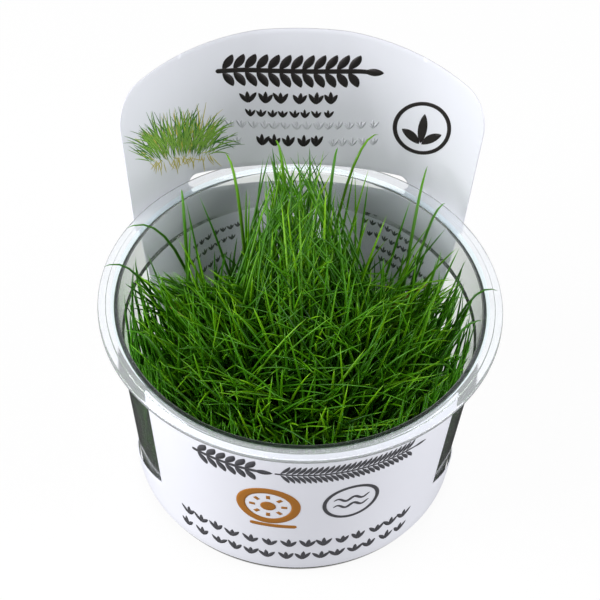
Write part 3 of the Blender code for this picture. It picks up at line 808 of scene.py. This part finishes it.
def label_surface():
    """The sleeve's face on four grids that share their edges.

    They are the foot strip all round, the back under its slot, the back over it, and the front panel.
    """
    back, top = tab_edge()
    front_edge = math.pi - FRONT_HALF_ANGLE
    right = np.linspace(BACK_HALF_ANGLE, front_edge, SIDE_COLUMNS)[1:-1]
    front = np.linspace(front_edge, math.tau - front_edge, FRONT_COLUMNS)
    angles = np.concatenate([back, right, front, math.tau - right[::-1]])
    signed = np.abs((angles + math.pi) % math.tau - math.pi)
    strip_top = foot_edge(np.maximum(signed, BACK_HALF_ANGLE))
    strip_top[len(back) + len(right):][:len(front)] = VERTEX_HEIGHT
    slot_low, slot_high = slot_edges(back)
    round_angles, round_top = np.append(angles, angles[0]), np.append(strip_top, strip_top[0])
    blocks = (
        (round_angles, between(np.full(len(round_angles), SLEEVE_FOOT), round_top, FOOT_ROWS)),
        (back, between(strip_top[:len(back)], slot_low, BACK_ROWS)),
        (back, between(slot_high, top, TAB_ROWS)),
        (front, between(np.full(len(front), VERTEX_HEIGHT), np.full(len(front), FRONT_TOP), FRONT_ROWS)),
    )
    points, faces, start = [], [], 0
    for columns, heights in blocks:
        points.append(sleeve(columns[:, None], heights).reshape(-1, 3))
        faces.append(grid_quads(*heights.shape)[:, (0, 3, 2, 1)] + start)
        start += heights.size
    points, index = np.unique(np.round(np.concatenate(points), 9), axis=0, return_inverse=True)
    return points, index.reshape(-1)[np.concatenate(faces)]


class HAIRGRASS_OT_label(bpy.types.Operator):
    """Make the label sleeve: one sheet with a front panel, open sides and a tall back tab"""

    bl_idname = "hairgrass.label"
    bl_label = "Label"

    def execute(self, context):
        points, faces = label_surface()
        finish = sheet_finish(context.scene.hairgrass_label)
        sheet = add_piece("label_sheet", points, (faces,), finish, "label_sleeve")
        thicken(sheet, SHEET)
        return {"FINISHED"}


# Print: strokes in a flat layout, x to the viewer's right and y up, in metres


def mm(*lengths):
    """Lengths in millimetres as metres."""
    return tuple(length * MM for length in lengths)


def stroke(path, half_width, across=5):
    """Points and faces of p(s) + v w(s) n(s) along a path p, with v from -1 to 1 and n its left normal."""
    along = np.gradient(path, axis=0)
    along /= np.linalg.norm(along, axis=1)[:, None]
    left = np.stack([-along[:, 1], along[:, 0]], axis=1)
    side = np.linspace(-1.0, 1.0, across)[None, :, None]
    grid = path[:, None] + side * (half_width * np.ones(len(path)))[:, None, None] * left[:, None]
    return grid.reshape(-1, 2), grid_quads(len(path), across)


def bar(left, right, height, thickness):
    """A bar with round ends: its half width is sqrt(r^2 - (r - d)^2) within r of an end at distance d."""
    radius = 0.5 * thickness
    share = 0.5 - 0.5 * np.cos(np.linspace(0.0, math.pi, BAR_POINTS))
    x = left + (right - left) * share
    inside = np.minimum(np.minimum(x - left, right - x), radius)
    half = np.sqrt(np.maximum(radius**2 - (radius - inside) ** 2, 1e-12))
    return stroke(np.stack([x, np.full(len(x), height)], axis=1), half)


def leaf(foot, turn, length, width, curl=0.0):
    """A leaf: its half width is width * sin(pi s)^0.7 along a line that turns by curl."""
    share = np.linspace(0.0, 1.0, LEAF_POINTS)
    angle = turn + curl * share
    steps = np.stack([np.cos(angle), np.sin(angle)], axis=1) * length / (len(share) - 1)
    path = np.array(foot) + np.cumsum(steps, axis=0)
    return stroke(path, np.maximum(width * np.sin(math.pi * share) ** 0.7, 0.02 * MM), across=3)


def ring(centre, radius, half_width):
    """A closed ring: points c + (radius + v half_width)(cos a, sin a), with v from 1 to -1 across it."""
    angle = np.linspace(0.0, math.tau, RING_POINTS, endpoint=False)
    side = np.linspace(1.0, -1.0, RING_ROWS)[:, None]
    reach = radius + half_width * side
    grid = np.stack([reach * np.cos(angle), reach * np.sin(angle)], axis=2) + np.array(centre)
    return grid.reshape(-1, 2), grid_quads(RING_ROWS, RING_POINTS, wrap=True)


def ray(centre, turn, start, end, half_width):
    """A straight stroke away from the centre: points c + (start (1 - s) + end s)(cos turn, sin turn)."""
    share = np.linspace(0.0, 1.0, RAY_POINTS)[:, None]
    way = np.array([math.cos(turn), math.sin(turn)])
    return stroke((centre + start * way) * (1.0 - share) + (centre + end * way) * share, half_width)


def wave(left, right, height, swing, length, half_width):
    """A line height + swing sin(2 pi (x - left) / length), thinner to both ends by sin(pi s)^0.35."""
    x = np.linspace(left, right, WAVE_POINTS)
    taper = np.sin(math.pi * np.linspace(0.0, 1.0, len(x))) ** 0.35
    path = np.stack([x, height + swing * np.sin(math.tau * (x - left) / length)], axis=1)
    return stroke(path, half_width * np.maximum(taper, 0.2))


def garland(left, right, height, leaf_length, leaf_width, half_width):
    """A straight stem with pairs of leaves that lean to its right end, one under and one over it."""
    made = [bar(left, right, height, 2.0 * half_width)]
    for x in np.arange(left + 0.3 * leaf_length, right - 0.75 * leaf_length, 2.6 * leaf_width):
        for up in (1.0, -1.0):
            foot = (x, height + 0.5 * half_width * up)
            made.append(leaf(foot, 0.75 * up, leaf_length, leaf_width, 0.45 * up))
    made.append(leaf((right - 0.5 * leaf_length, height), 0.0, leaf_length, leaf_width))
    return made


def sprigs(rng, left, right, height, size, weight):
    """A row of small upright sprigs of three blades, whose middle is at the given height."""
    made = []
    x = left + 0.3 * size
    while x < right:
        foot = (x, height - 0.5 * size)
        for turn in SPRIG_TURNS:
            length = size * rng.uniform(0.8, 1.0)
            made.append(leaf(foot, turn + rng.uniform(-0.1, 0.1), length, weight, 0.3 * (turn - UPRIGHT)))
        x += size * rng.uniform(1.0, 1.3)
    return made


def join(shapes):
    """Points and faces of several shapes as one set."""
    starts = np.cumsum([0] + [len(points) for points, _ in shapes])[:-1]
    points = np.concatenate([points for points, _ in shapes])
    return points, np.concatenate([faces + start for (_, faces), start in zip(shapes, starts)])


def on_front(layout, lift):
    """The layout on the front panel's outer face: the angle is pi - x / radius, the height y."""
    return sleeve(math.pi - layout[:, 0] / FRONT_PRINT_RADIUS, layout[:, 1], lift)


def on_inside(layout, lift):
    """The layout on the back's inner face, which faces the plants: the angle is x / radius."""
    return sleeve(layout[:, 0] / TAB_PRINT_RADIUS, layout[:, 1], -SHEET - lift)


def on_tab(layout, lift):
    """The layout on the tab's inner face: the angle is x / radius, the height y + smile * x^2."""
    height = layout[:, 1] + PRINT_SMILE * layout[:, 0] ** 2
    return sleeve(layout[:, 0] / TAB_PRINT_RADIUS, height, -SHEET - lift)


def on_tab_back(layout, lift):
    """The layout on the tab's outer face: the angle is -x / radius, the height y + smile * x^2."""
    height = layout[:, 1] + PRINT_SMILE * layout[:, 0] ** 2
    return sleeve(-layout[:, 0] / TAB_PRINT_RADIUS, height, lift)


def front_print():
    """The front panel's grey garlands, round sign with waves and sprigs, and its ochre sign and bar."""
    rng = np.random.default_rng(SEED)
    grey = [shape for row in FRONT_GARLANDS for shape in garland(*mm(*row))]
    grey.append(ring(mm(*WAVE_SIGN), *mm(6.9, 0.5)))
    for height in (31.8, 34.8):
        grey.append(wave(*mm(8.3, 17.5, height, 0.7, 4.2, 0.45)))
    for row in FRONT_SPRIGS:
        grey += sprigs(rng, *mm(*row))
    centre = mm(*OCHRE_SIGN)
    ochre = [ring(centre, *mm(7.0, 1.15)), ring(centre, *mm(1.0, 0.98))]
    for turn in np.arange(8) * math.tau / 8:
        ochre.append(ray(centre, turn, *mm(3.3, 4.8, 0.5)))
    ochre.append(bar(*mm(-12.8, -0.6, 23.4, 1.5)))
    return grey, ochre


def tab_print():
    """The tab's dark garland, sprigs and round sign with three leaves, its faint rows, and the inside's."""
    rng = np.random.default_rng(SEED + 1)
    dark = [shape for row in TAB_GARLANDS for shape in garland(*mm(*row))]
    for row in DARK_SPRIGS:
        dark += sprigs(rng, *mm(*row))
    centre = mm(*LEAF_SIGN)
    foot = (centre[0], centre[1] - 5.6 * MM)
    dark.append(ring(centre, *mm(8.0, 0.6)))
    for turn, length in ((2.3, 7.0), (UPRIGHT, 9.6), (0.84, 7.0)):
        dark.append(leaf(foot, turn, length * MM, 1.35 * MM, 0.5 * (turn - UPRIGHT)))
    faint = []
    for row in FAINT_SPRIGS:
        faint += sprigs(rng, *mm(*row))
    inside = []
    for left, right, start, end in INSIDE_SPRIGS:
        points, faces = join(sprigs(rng, *mm(left, right, 0.0, 2.1, 0.3)))
        points[:, 1] += MM * np.interp(points[:, 0], mm(left, right), (start, end))
        inside.append((points, faces))
    return dark, faint, inside


def leaf_print():
    """A fan of fine blades over a row of roots, in three inks, on the left of the tab.

    A blade's length is height * sqrt(1 - x^2 / 2), and it leans outwards by 0.6 x, with x its place
    across the fan from -1 to 1. Both stray.
    """
    rng = np.random.default_rng(SEED + 2)
    inks = ([], [], [])
    middle, ground = mm(*FAN_PLACE)
    for number in range(FAN_BLADES):
        across = rng.uniform(-1.0, 1.0)
        foot = (middle + FAN_HALF_WIDTH * across, ground + rng.uniform(-1.2, 4.0) * MM)
        length = FAN_HEIGHT * math.sqrt(1.0 - 0.5 * across**2) * rng.uniform(0.5, 1.1)
        turn = math.pi / 2 - 0.6 * across + rng.normal(0.0, 0.22)
        width = rng.uniform(0.1, 0.2) * MM
        ink = FAN_INKS[number % len(FAN_INKS)]
        inks[ink].append(leaf(foot, turn, length, width, rng.normal(-0.4 * across, 0.35)))
    for _ in range(FAN_ROOTS):
        foot = (middle + rng.uniform(-10.5, 10.5) * MM, ground + rng.uniform(-0.6, 0.8) * MM)
        turn = -math.pi / 2 + rng.normal(0.0, 0.45)
        inks[2].append(leaf(foot, turn, rng.uniform(2.0, 5.0) * MM, 0.12 * MM, rng.normal(0.0, 0.5)))
    return inks


class HAIRGRASS_OT_print(bpy.types.Operator):
    """Print the label: garlands, plain signs, a fan of leaves and rows of sprigs"""

    bl_idname = "hairgrass.print"
    bl_label = "Print"

    def execute(self, context):
        settings = context.scene.hairgrass_label
        grey, ochre = front_print()
        dark, faint, inside = tab_print()
        leaves, shoots, straws = leaf_print()
        pale = tuple(0.84 * part for part in settings.sheet)
        layers = (
            ("print_grey", grey, on_front, settings.grey),
            ("print_ochre", ochre, on_front, settings.ochre),
            ("print_dark", dark, on_tab, settings.dark),
            ("print_faint", faint, on_tab, pale),
            ("print_inside", inside, on_inside, settings.grey),
            ("print_straw", straws, on_tab, settings.straw),
            ("print_leaf", leaves, on_tab, settings.leaf),
            ("print_shoot", shoots, on_tab, settings.shoot),
            ("print_back", faint, on_tab_back, settings.grey),
        )
        for number, (name, shapes, laid_on, colour) in enumerate(layers):
            layout, faces = join(shapes)
            points = laid_on(layout, settings.lift * (1.0 + 0.1 * number))
            finish = ink_finish(name.replace("print", "ink"), tuple(colour))
            piece = add_piece(name, points, (faces,), finish)
            piece.data.shade_flat()
            thicken(piece, 0.5 * settings.lift)
        return {"FINISHED"}


# Grass: a blade's line is foot + s slope + s^2 bend + s^3 curl, with s from 0 at the foot to 1


def blade_leads(mesh):
    """Lines of a packed tuft's blades, as (foot, slope, bend), and the middle of its feet.

    A tip has three neighbours. From there the rings of three points are followed down to the crown,
    and a quadratic is fitted to their middles at the shares where the blade bends.
    """
    loose = np.empty(3 * len(mesh.vertices), np.float32)
    mesh.vertices.foreach_get("co", loose)
    corners = np.empty(3 * len(mesh.polygons), np.int32)
    mesh.polygons.foreach_get("vertices", corners)
    points, index = np.unique(loose.reshape(-1, 3), axis=0, return_inverse=True)
    faces = index.reshape(-1)[corners].reshape(-1, 3)
    beside = [set() for _ in points]
    for face in faces.tolist():
        for corner in face:
            beside[corner].update(face)
    leads = []
    for tip in np.flatnonzero(points[:, 2] > CROWN_HEIGHTS[-1] + 1.0 * MM):
        around = beside[tip] - {tip}
        if len(around) != 3:
            continue
        middles, seen = [points[tip]], {tip}
        while len(around) == 3 and len(middles) < len(STRAY_STATIONS):
            places = points[list(around)]
            middles.append(places.mean(axis=0))
            off_crown = np.abs(places[:, 2:] - np.array(CROWN_HEIGHTS)).min(axis=1)
            if off_crown.max() < RING_TOLERANCE:
                break
            seen |= around
            around = set().union(*(beside[point] for point in around)) - seen
        for stations in (BLADE_STATIONS, STRAY_STATIONS):
            if len(stations) == len(middles):
                powers = np.vander(stations, 3, increasing=True)
                leads.append(np.linalg.lstsq(powers, np.array(middles[::-1]), rcond=None)[0])
    low = points[points[:, 2] < CROWN_HEIGHTS[0] + 0.1 * MM]
    return np.array(leads), low.mean(axis=0)


def line_points(lines, shares):
    """Points foot + s slope + s^2 bend + s^3 curl of each line at each share s."""
    powers = np.vander(shares, 4, increasing=True)
    return np.einsum("sp,bpc->bsc", powers, lines)


def canopy(place):
    """Height of the grass at each place: a dome, lower at the front and higher at the back.

    dome = top - fall * r^2 / R^2 + rise * y, and beside the dome's middle it is never higher than
    the slope, foot + slope * (edge - y).
    """
    rise = BACK_RISE * np.clip(place[:, 1] / PLANTED_RADIUS, -1.0, 1.0)
    dome = DOME_HEIGHT - DOME_FALL * (place**2).sum(axis=1) / MOUTH_RADIUS**2 + rise
    low = SLOPE_FOOT + SLOPE * (MOUTH_RADIUS - 2.0 * MM - place[:, 1])
    beside = np.clip((np.abs(place[:, 0]) - MIDDLE_WIDTH) / MIDDLE_FADE, 0.0, 1.0)
    return dome - beside * np.maximum(dome - low, 0.0)


def arches(rng, feet, tips, lean, bow):
    """Lines of (1 - s)^2 foot + 2 s (1 - s) crest + s^2 tip, bent a little by s^3.

    The crest stands over the point that is the part lean of the way from foot to tip, higher than
    it by bow times the way's length.
    """
    count = len(feet)
    crests = feet + lean[:, None] * (tips - feet) + rng.normal(0.0, STRAY, (count, 3))
    crests[:, 2] += bow * np.linalg.norm(tips - feet, axis=1)
    curl = rng.normal(0.0, STRAY, (count, 3))
    return np.stack([feet, 2.0 * (crests - feet), feet - 2.0 * crests + tips - curl, curl], axis=1)


def feet_round(rng, middle, spread, count):
    """Feet spread evenly over a disc: middle + spread sqrt(u) (cos a, sin a), on the gel."""
    reach = spread * np.sqrt(rng.uniform(0.0, 1.0, count))
    around = rng.uniform(0.0, math.tau, count)
    feet = [middle[0] + reach * np.cos(around), middle[1] + reach * np.sin(around)]
    return np.stack(feet + [np.full(count, FOOT_HEIGHT)], axis=1)


def reached(rng, feet, middle, run, outwards):
    """Tips on the canopy, at the run from their feet, in any direction but rather away from the axis."""
    way = rng.normal(0.0, 1.0, (len(feet), 2)) + outwards * middle[:2] / PLANTED_RADIUS
    way /= np.linalg.norm(way, axis=1)[:, None]
    tips = feet.copy()
    tips[:, :2] += run[:, None] * way
    tips[:, 2] = canopy(tips[:, :2])
    return tips


def close_lines(rng, leads, middle, settings):
    """Blades between the leads: each tip lies between the tips of two leads, somewhat lower."""
    count = TRIES * settings.close
    first, second = leads[rng.integers(len(leads), size=(2, count))].sum(axis=2)
    weight = rng.uniform(0.0, 1.0, count)[:, None]
    tips = weight * first + (1.0 - weight) * second + rng.normal(0.0, settings.scatter, (count, 3))
    feet = feet_round(rng, middle, settings.spread, count)
    tips[:, 2] = np.minimum(tips[:, 2], canopy(tips[:, :2])) - rng.exponential(settings.depth, count)
    lean = rng.uniform(*CLOSE_CREST, count)
    return arches(rng, feet, tips, lean, rng.uniform(*CLOSE_BOW, count)), settings.close


def long_lines(rng, leads, middle, settings):
    """Long blades that lean out over their neighbours in any direction, rather away from the middle."""
    count = TRIES * settings.long
    feet = feet_round(rng, middle, settings.spread, count)
    tips = reached(rng, feet, middle, rng.uniform(*LONG_RUN, count) * MM, LONG_OUTWARDS)
    tips[:, 2] -= LONG_DEPTH * rng.exponential(settings.depth, count)
    droop = LONG_DROOP * rng.uniform(0.0, 1.0, count)
    tips[:, 2] -= droop * np.linalg.norm((tips - feet)[:, :2], axis=1)
    lean = rng.uniform(*LONG_CREST, count)
    return arches(rng, feet, tips, lean, rng.uniform(*LONG_BOW, count)), settings.long


def laid_lines(rng, leads, middle, settings):
    """Long blades that arch low over the others."""
    count = TRIES * settings.laid
    feet = feet_round(rng, middle, settings.spread, count)
    tips = reached(rng, feet, middle, rng.uniform(*LAID_RUN, count) * MM, 0.0)
    tips[:, 2] -= rng.uniform(*LAID_DEPTH, count) * MM
    lean = rng.uniform(*LAID_CREST, count)
    return arches(rng, feet, tips, lean, rng.uniform(*LAID_BOW, count)), settings.laid


def wall_lines(rng, leads, middle, settings):
    """Blades of the outer tufts that stand along the wall, shorter at the back."""
    if math.hypot(middle[0], middle[1]) < WALL_TUFT_RADIUS:
        return np.zeros((0, 4, 3)), 0
    count = TRIES * settings.wall
    inset = WALL_INSET + rng.exponential(WALL_INSET_SPREAD, count)
    around = math.atan2(middle[1], middle[0]) + rng.uniform(-WALL_ANGLE, WALL_ANGLE, count)
    reach = wall_radius(GEL_TOP) - WALL - inset
    feet = np.stack([reach * np.cos(around), reach * np.sin(around), np.full(count, GEL_TOP)], axis=1)
    around = around + rng.normal(0.0, WALL_LEAN, count)
    height = rng.uniform(*WALL_HEIGHT, count) * MM
    back = np.sin(around) > WALL_BACK
    height[back] = rng.uniform(*WALL_HEIGHT_BACK, back.sum()) * MM
    reach = np.minimum(wall_radius(height) - WALL, STEP_RADIUS) - inset
    tips = np.stack([reach * np.cos(around), reach * np.sin(around), height], axis=1)
    return arches(rng, feet, tips, rng.uniform(*WALL_CREST, count), np.zeros(count)), settings.wall


def in_cup(points):
    """True for each line that stays above the gel and off the wall, the flange and the free corners."""
    radius = np.hypot(points[..., 0], points[..., 1])
    height = points[..., 2]
    limit = np.minimum(wall_radius(height) - WALL, STEP_RADIUS) - WALL_MARGIN
    tab = back_radius(np.arctan2(points[..., 0], points[..., 1]), height) - SHEET
    above = np.minimum(tab, FLANGE_RADIUS) - WALL_MARGIN
    limit = np.where(height > CUP_HEIGHT + 1.0 * MM, above, limit)
    low, high = np.array(OPENING) + OPENING_MARGIN * np.array([[-1.0], [1.0]])
    beside = np.stack([np.abs(points[..., 0]), points[..., 1], height], axis=-1)
    free = np.all((beside > low) & (beside < high), axis=-1)
    good = (radius < limit) & ~free & (height > GEL_TOP - 0.5 * MM)
    return good.all(axis=1) & (height[:, -1] > LOWEST_TIP)


def tuft_lines(rng, leads, middle, settings):
    """Lines of a tuft, its leads first and its blades along the wall last, and how many those are.

    A lead's foot goes straight down from the crown to the gel.
    """
    fine = []
    for kind in (close_lines, long_lines, laid_lines, wall_lines):
        tried, wanted = kind(rng, leads, middle, settings)
        fine.append(tried[in_cup(line_points(tried, np.linspace(0.0, 1.0, LINE_TESTS)))][:wanted])
    leading = np.zeros((len(leads), 4, 3))
    leading[:, :3] = leads
    leading[:, 0, 2] = FOOT_HEIGHT
    leading[:, 1, 2] += leads[:, 0, 2] - FOOT_HEIGHT
    return np.concatenate([leading, *fine]), len(fine[-1])


def tuft_tints(rng, middle, count, leads, along):
    """Tints of a tuft's blades: a few are dry, the leads are brighter as painted light on the grass's top,
    and those by the wall are deeper as painted shade.

    The further a tuft stands aside, the deeper its tints, as painted shade: by the factor 1 - shade * (x /
    radius)^2.
    """
    tint = rng.beta(TINT_SHAPE, TINT_SHAPE, count) * GREENEST
    tint[rng.uniform(size=count) < DRY_SHARE] = 1.0
    # Painted light on the leads at the grass's top
    tint[:leads] = np.minimum(tint[:leads] + LEAD_LIGHT, LEAD_LIMIT)
    # Painted shade on the blades along the wall
    tint[count - along:] *= WALL_SHADE
    # Painted shade on the tufts that stand further aside
    return tint * (1.0 - SIDE_SHADE * min(abs(middle[0]) / PLANTED_RADIUS, 1.0) ** 2)


def blade_surfaces(lines, foot_radius, tint):
    """Tubes round the lines: p(s) + r(s) (cos a n + sin a t x n), closed by a point and a foot face.

    t is the line's direction, n is across the plane in which it bends, and the radius is
    foot radius * (1 - 0.25 s - 0.6 s^6). The values are each point's share s and its blade's tint.
    """
    shares = np.array(RING_SHARES)
    spine = line_points(lines, shares)
    tips = line_points(lines, np.array([1.0]))
    powers = np.stack([np.zeros_like(shares), np.ones_like(shares), 2 * shares, 3 * shares**2], axis=1)
    slopes = np.einsum("sp,bpc->bsc", powers, lines)
    slopes /= np.linalg.norm(slopes, axis=2)[:, :, None]
    across = np.cross(lines[:, 1], lines[:, 2] + 1e-4 * MM)
    across = np.broadcast_to(across[:, None], slopes.shape)
    across = across - (across * slopes).sum(axis=2)[:, :, None] * slopes
    across /= np.linalg.norm(across, axis=2)[:, :, None]
    other = np.cross(slopes, across)
    angle = math.tau * np.arange(BLADE_SIDES) / BLADE_SIDES
    radius = foot_radius[:, None] * (1.0 - 0.25 * shares - 0.6 * shares**6)
    rim = np.cos(angle)[:, None] * across[:, :, None] + np.sin(angle)[:, None] * other[:, :, None]
    rings = spine[:, :, None] + radius[:, :, None, None] * rim
    blades, each = len(lines), len(shares) * BLADE_SIDES + 1
    points = np.concatenate([rings.reshape(blades, -1, 3), tips], axis=1).reshape(-1, 3)
    sides = np.arange(BLADE_SIDES)
    last = (len(shares) - 1) * BLADE_SIDES
    quads = grid_quads(len(shares), BLADE_SIDES, wrap=True)[:, ::-1]
    quads = np.concatenate([quads, sides[None, ::-1]])
    fan = np.stack([last + sides, last + (sides + 1) % BLADE_SIDES, np.full(BLADE_SIDES, each - 1)], axis=1)
    starts = each * np.arange(blades)[:, None, None]
    faces = ((quads + starts).reshape(-1, 4), (fan + starts).reshape(-1, 3))
    share = np.tile(np.append(np.repeat(shares, BLADE_SIDES), 1.0), blades)
    return points, faces, {"share": share, "tint": np.repeat(tint, each)}


class HAIRGRASS_OT_tufts(bpy.types.Operator):
    """Make the grass: on each packed tuft, its leading blades and many finer ones between them"""

    bl_idname = "hairgrass.tufts"
    bl_label = "Tufts"

    def execute(self, context):
        settings = context.scene.hairgrass_grass
        finish = grass_finish(settings)
        rng = np.random.default_rng(SEED)
        for node in sorted(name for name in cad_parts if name.startswith("hairgrass_tuft")):
            leads, middle = blade_leads(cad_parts[node].data)
            lines, along = tuft_lines(rng, leads, middle, settings)
            size = rng.uniform(settings.thin, settings.thick, len(lines))
            size[:len(leads)] = settings.thick
            tint = tuft_tints(rng, middle, len(lines), len(leads), along)
            points, faces, values = blade_surfaces(lines, size, tint)
            add_piece(node.replace("hairgrass", "grass"), points, faces, finish, node, values)
        return {"FINISHED"}


# Stage


def aimed(place, target, roll=0.0):
    """A matrix at place whose -Z points at target and whose Y points up, turned by roll."""
    place, target = np.array(place), np.array(target)
    forward = (target - place) / np.linalg.norm(target - place)
    right = np.cross(forward, (0.0, 0.0, 1.0))
    right /= np.linalg.norm(right)
    up = np.cross(right, forward)
    rolled_right = math.cos(roll) * right + math.sin(roll) * up
    rolled_up = math.cos(roll) * up - math.sin(roll) * right
    matrix = np.eye(4)
    matrix[:3] = np.stack([rolled_right, rolled_up, -forward, place], axis=1)
    return Matrix(matrix.tolist())


def add_floor(settings):
    """A square floor just under the cup's base."""
    mesh = bpy.data.meshes.new("floor")
    square = ((-1, -1), (1, -1), (1, 1), (-1, 1))
    corners = [(x * FLOOR_HALF, y * FLOOR_HALF, -FLOOR_DROP) for x, y in square]
    mesh.from_pydata(corners, [], [(0, 1, 2, 3)])
    mesh.materials.append(floor_finish(settings))
    floor = bpy.data.objects.new("floor", mesh)
    bpy.context.scene.collection.objects.link(floor)


def add_light(name, place, target, side, power):
    """A square soft light that the camera doesn't see."""
    light = bpy.data.lights.new(name, "AREA")
    light.shape = "RECTANGLE"
    light.size = side
    light.size_y = side
    light.energy = power
    lamp = bpy.data.objects.new(name, light)
    lamp.matrix_world = aimed(place, target)
    lamp.visible_camera = False
    bpy.context.scene.collection.objects.link(lamp)


def add_camera():
    """The camera at the photo's place and roll."""
    camera = bpy.data.objects.new("camera", bpy.data.cameras.new("camera"))
    camera.data.lens = CAMERA_LENS
    camera.data.sensor_width = CAMERA_SENSOR
    camera.data.clip_start = CAMERA_NEAREST
    camera.matrix_world = aimed(CAMERA_PLACE, CAMERA_TARGET, CAMERA_ROLL)
    bpy.context.scene.collection.objects.link(camera)
    bpy.context.scene.camera = camera


class HAIRGRASS_OT_stage(bpy.types.Operator):
    """Set the stage: floor, surroundings, soft lights and the camera"""

    bl_idname = "hairgrass.stage"
    bl_label = "Stage"

    def execute(self, context):
        settings = context.scene.hairgrass_stage
        add_floor(settings)
        world = bpy.data.worlds.new("surroundings")
        world.use_nodes = True
        sky = world.node_tree.nodes["Background"]
        sky.inputs["Color"].default_value = WHITE
        sky.inputs["Strength"].default_value = settings.ambient
        context.scene.world = world
        for name, place, target, side, setting, factor in LIGHTS:
            add_light(name, place, target, side, factor * getattr(settings, setting))
        add_camera()
        context.scene.view_settings.view_transform = "Standard"
        return {"FINISHED"}


class HAIRGRASS_PT_panel(bpy.types.Panel):
    """Steps of the making and the sizes and colours they use"""

    bl_label = "Hairgrass"
    bl_idname = "HAIRGRASS_PT_panel"
    bl_space_type = "VIEW_3D"
    bl_region_type = "UI"
    bl_category = "Hairgrass"

    def draw(self, context):
        for group, operators in STEPS:
            box = self.layout.box()
            settings = getattr(context.scene, group)
            for name in settings.__annotations__:
                box.prop(settings, name)
            for operator in operators:
                box.operator(operator.bl_idname)


STEPS = (
    ("hairgrass_cup", (HAIRGRASS_OT_cup, HAIRGRASS_OT_gel)),
    ("hairgrass_label", (HAIRGRASS_OT_label, HAIRGRASS_OT_print)),
    ("hairgrass_grass", (HAIRGRASS_OT_tufts,)),
    ("hairgrass_stage", (HAIRGRASS_OT_stage,)),
)
GROUPS = (CupSettings, LabelSettings, GrassSettings, StageSettings)


def register():
    for group, (name, operators) in zip(GROUPS, STEPS):
        bpy.utils.register_class(group)
        setattr(bpy.types.Scene, name, PointerProperty(type=group))
        for operator in operators:
            bpy.utils.register_class(operator)
    bpy.utils.register_class(HAIRGRASS_PT_panel)


def unregister():
    bpy.utils.unregister_class(HAIRGRASS_PT_panel)
    for group, (name, operators) in zip(GROUPS, STEPS):
        for operator in operators:
            bpy.utils.unregister_class(operator)
        delattr(bpy.types.Scene, name)
        bpy.utils.unregister_class(group)


def main():
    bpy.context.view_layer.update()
    register()
    bpy.ops.hairgrass.cup()
    bpy.ops.hairgrass.gel()
    bpy.ops.hairgrass.label()
    bpy.ops.hairgrass.print()
    bpy.ops.hairgrass.tufts()
    bpy.ops.hairgrass.stage()


if __name__ == "__main__":
    main()
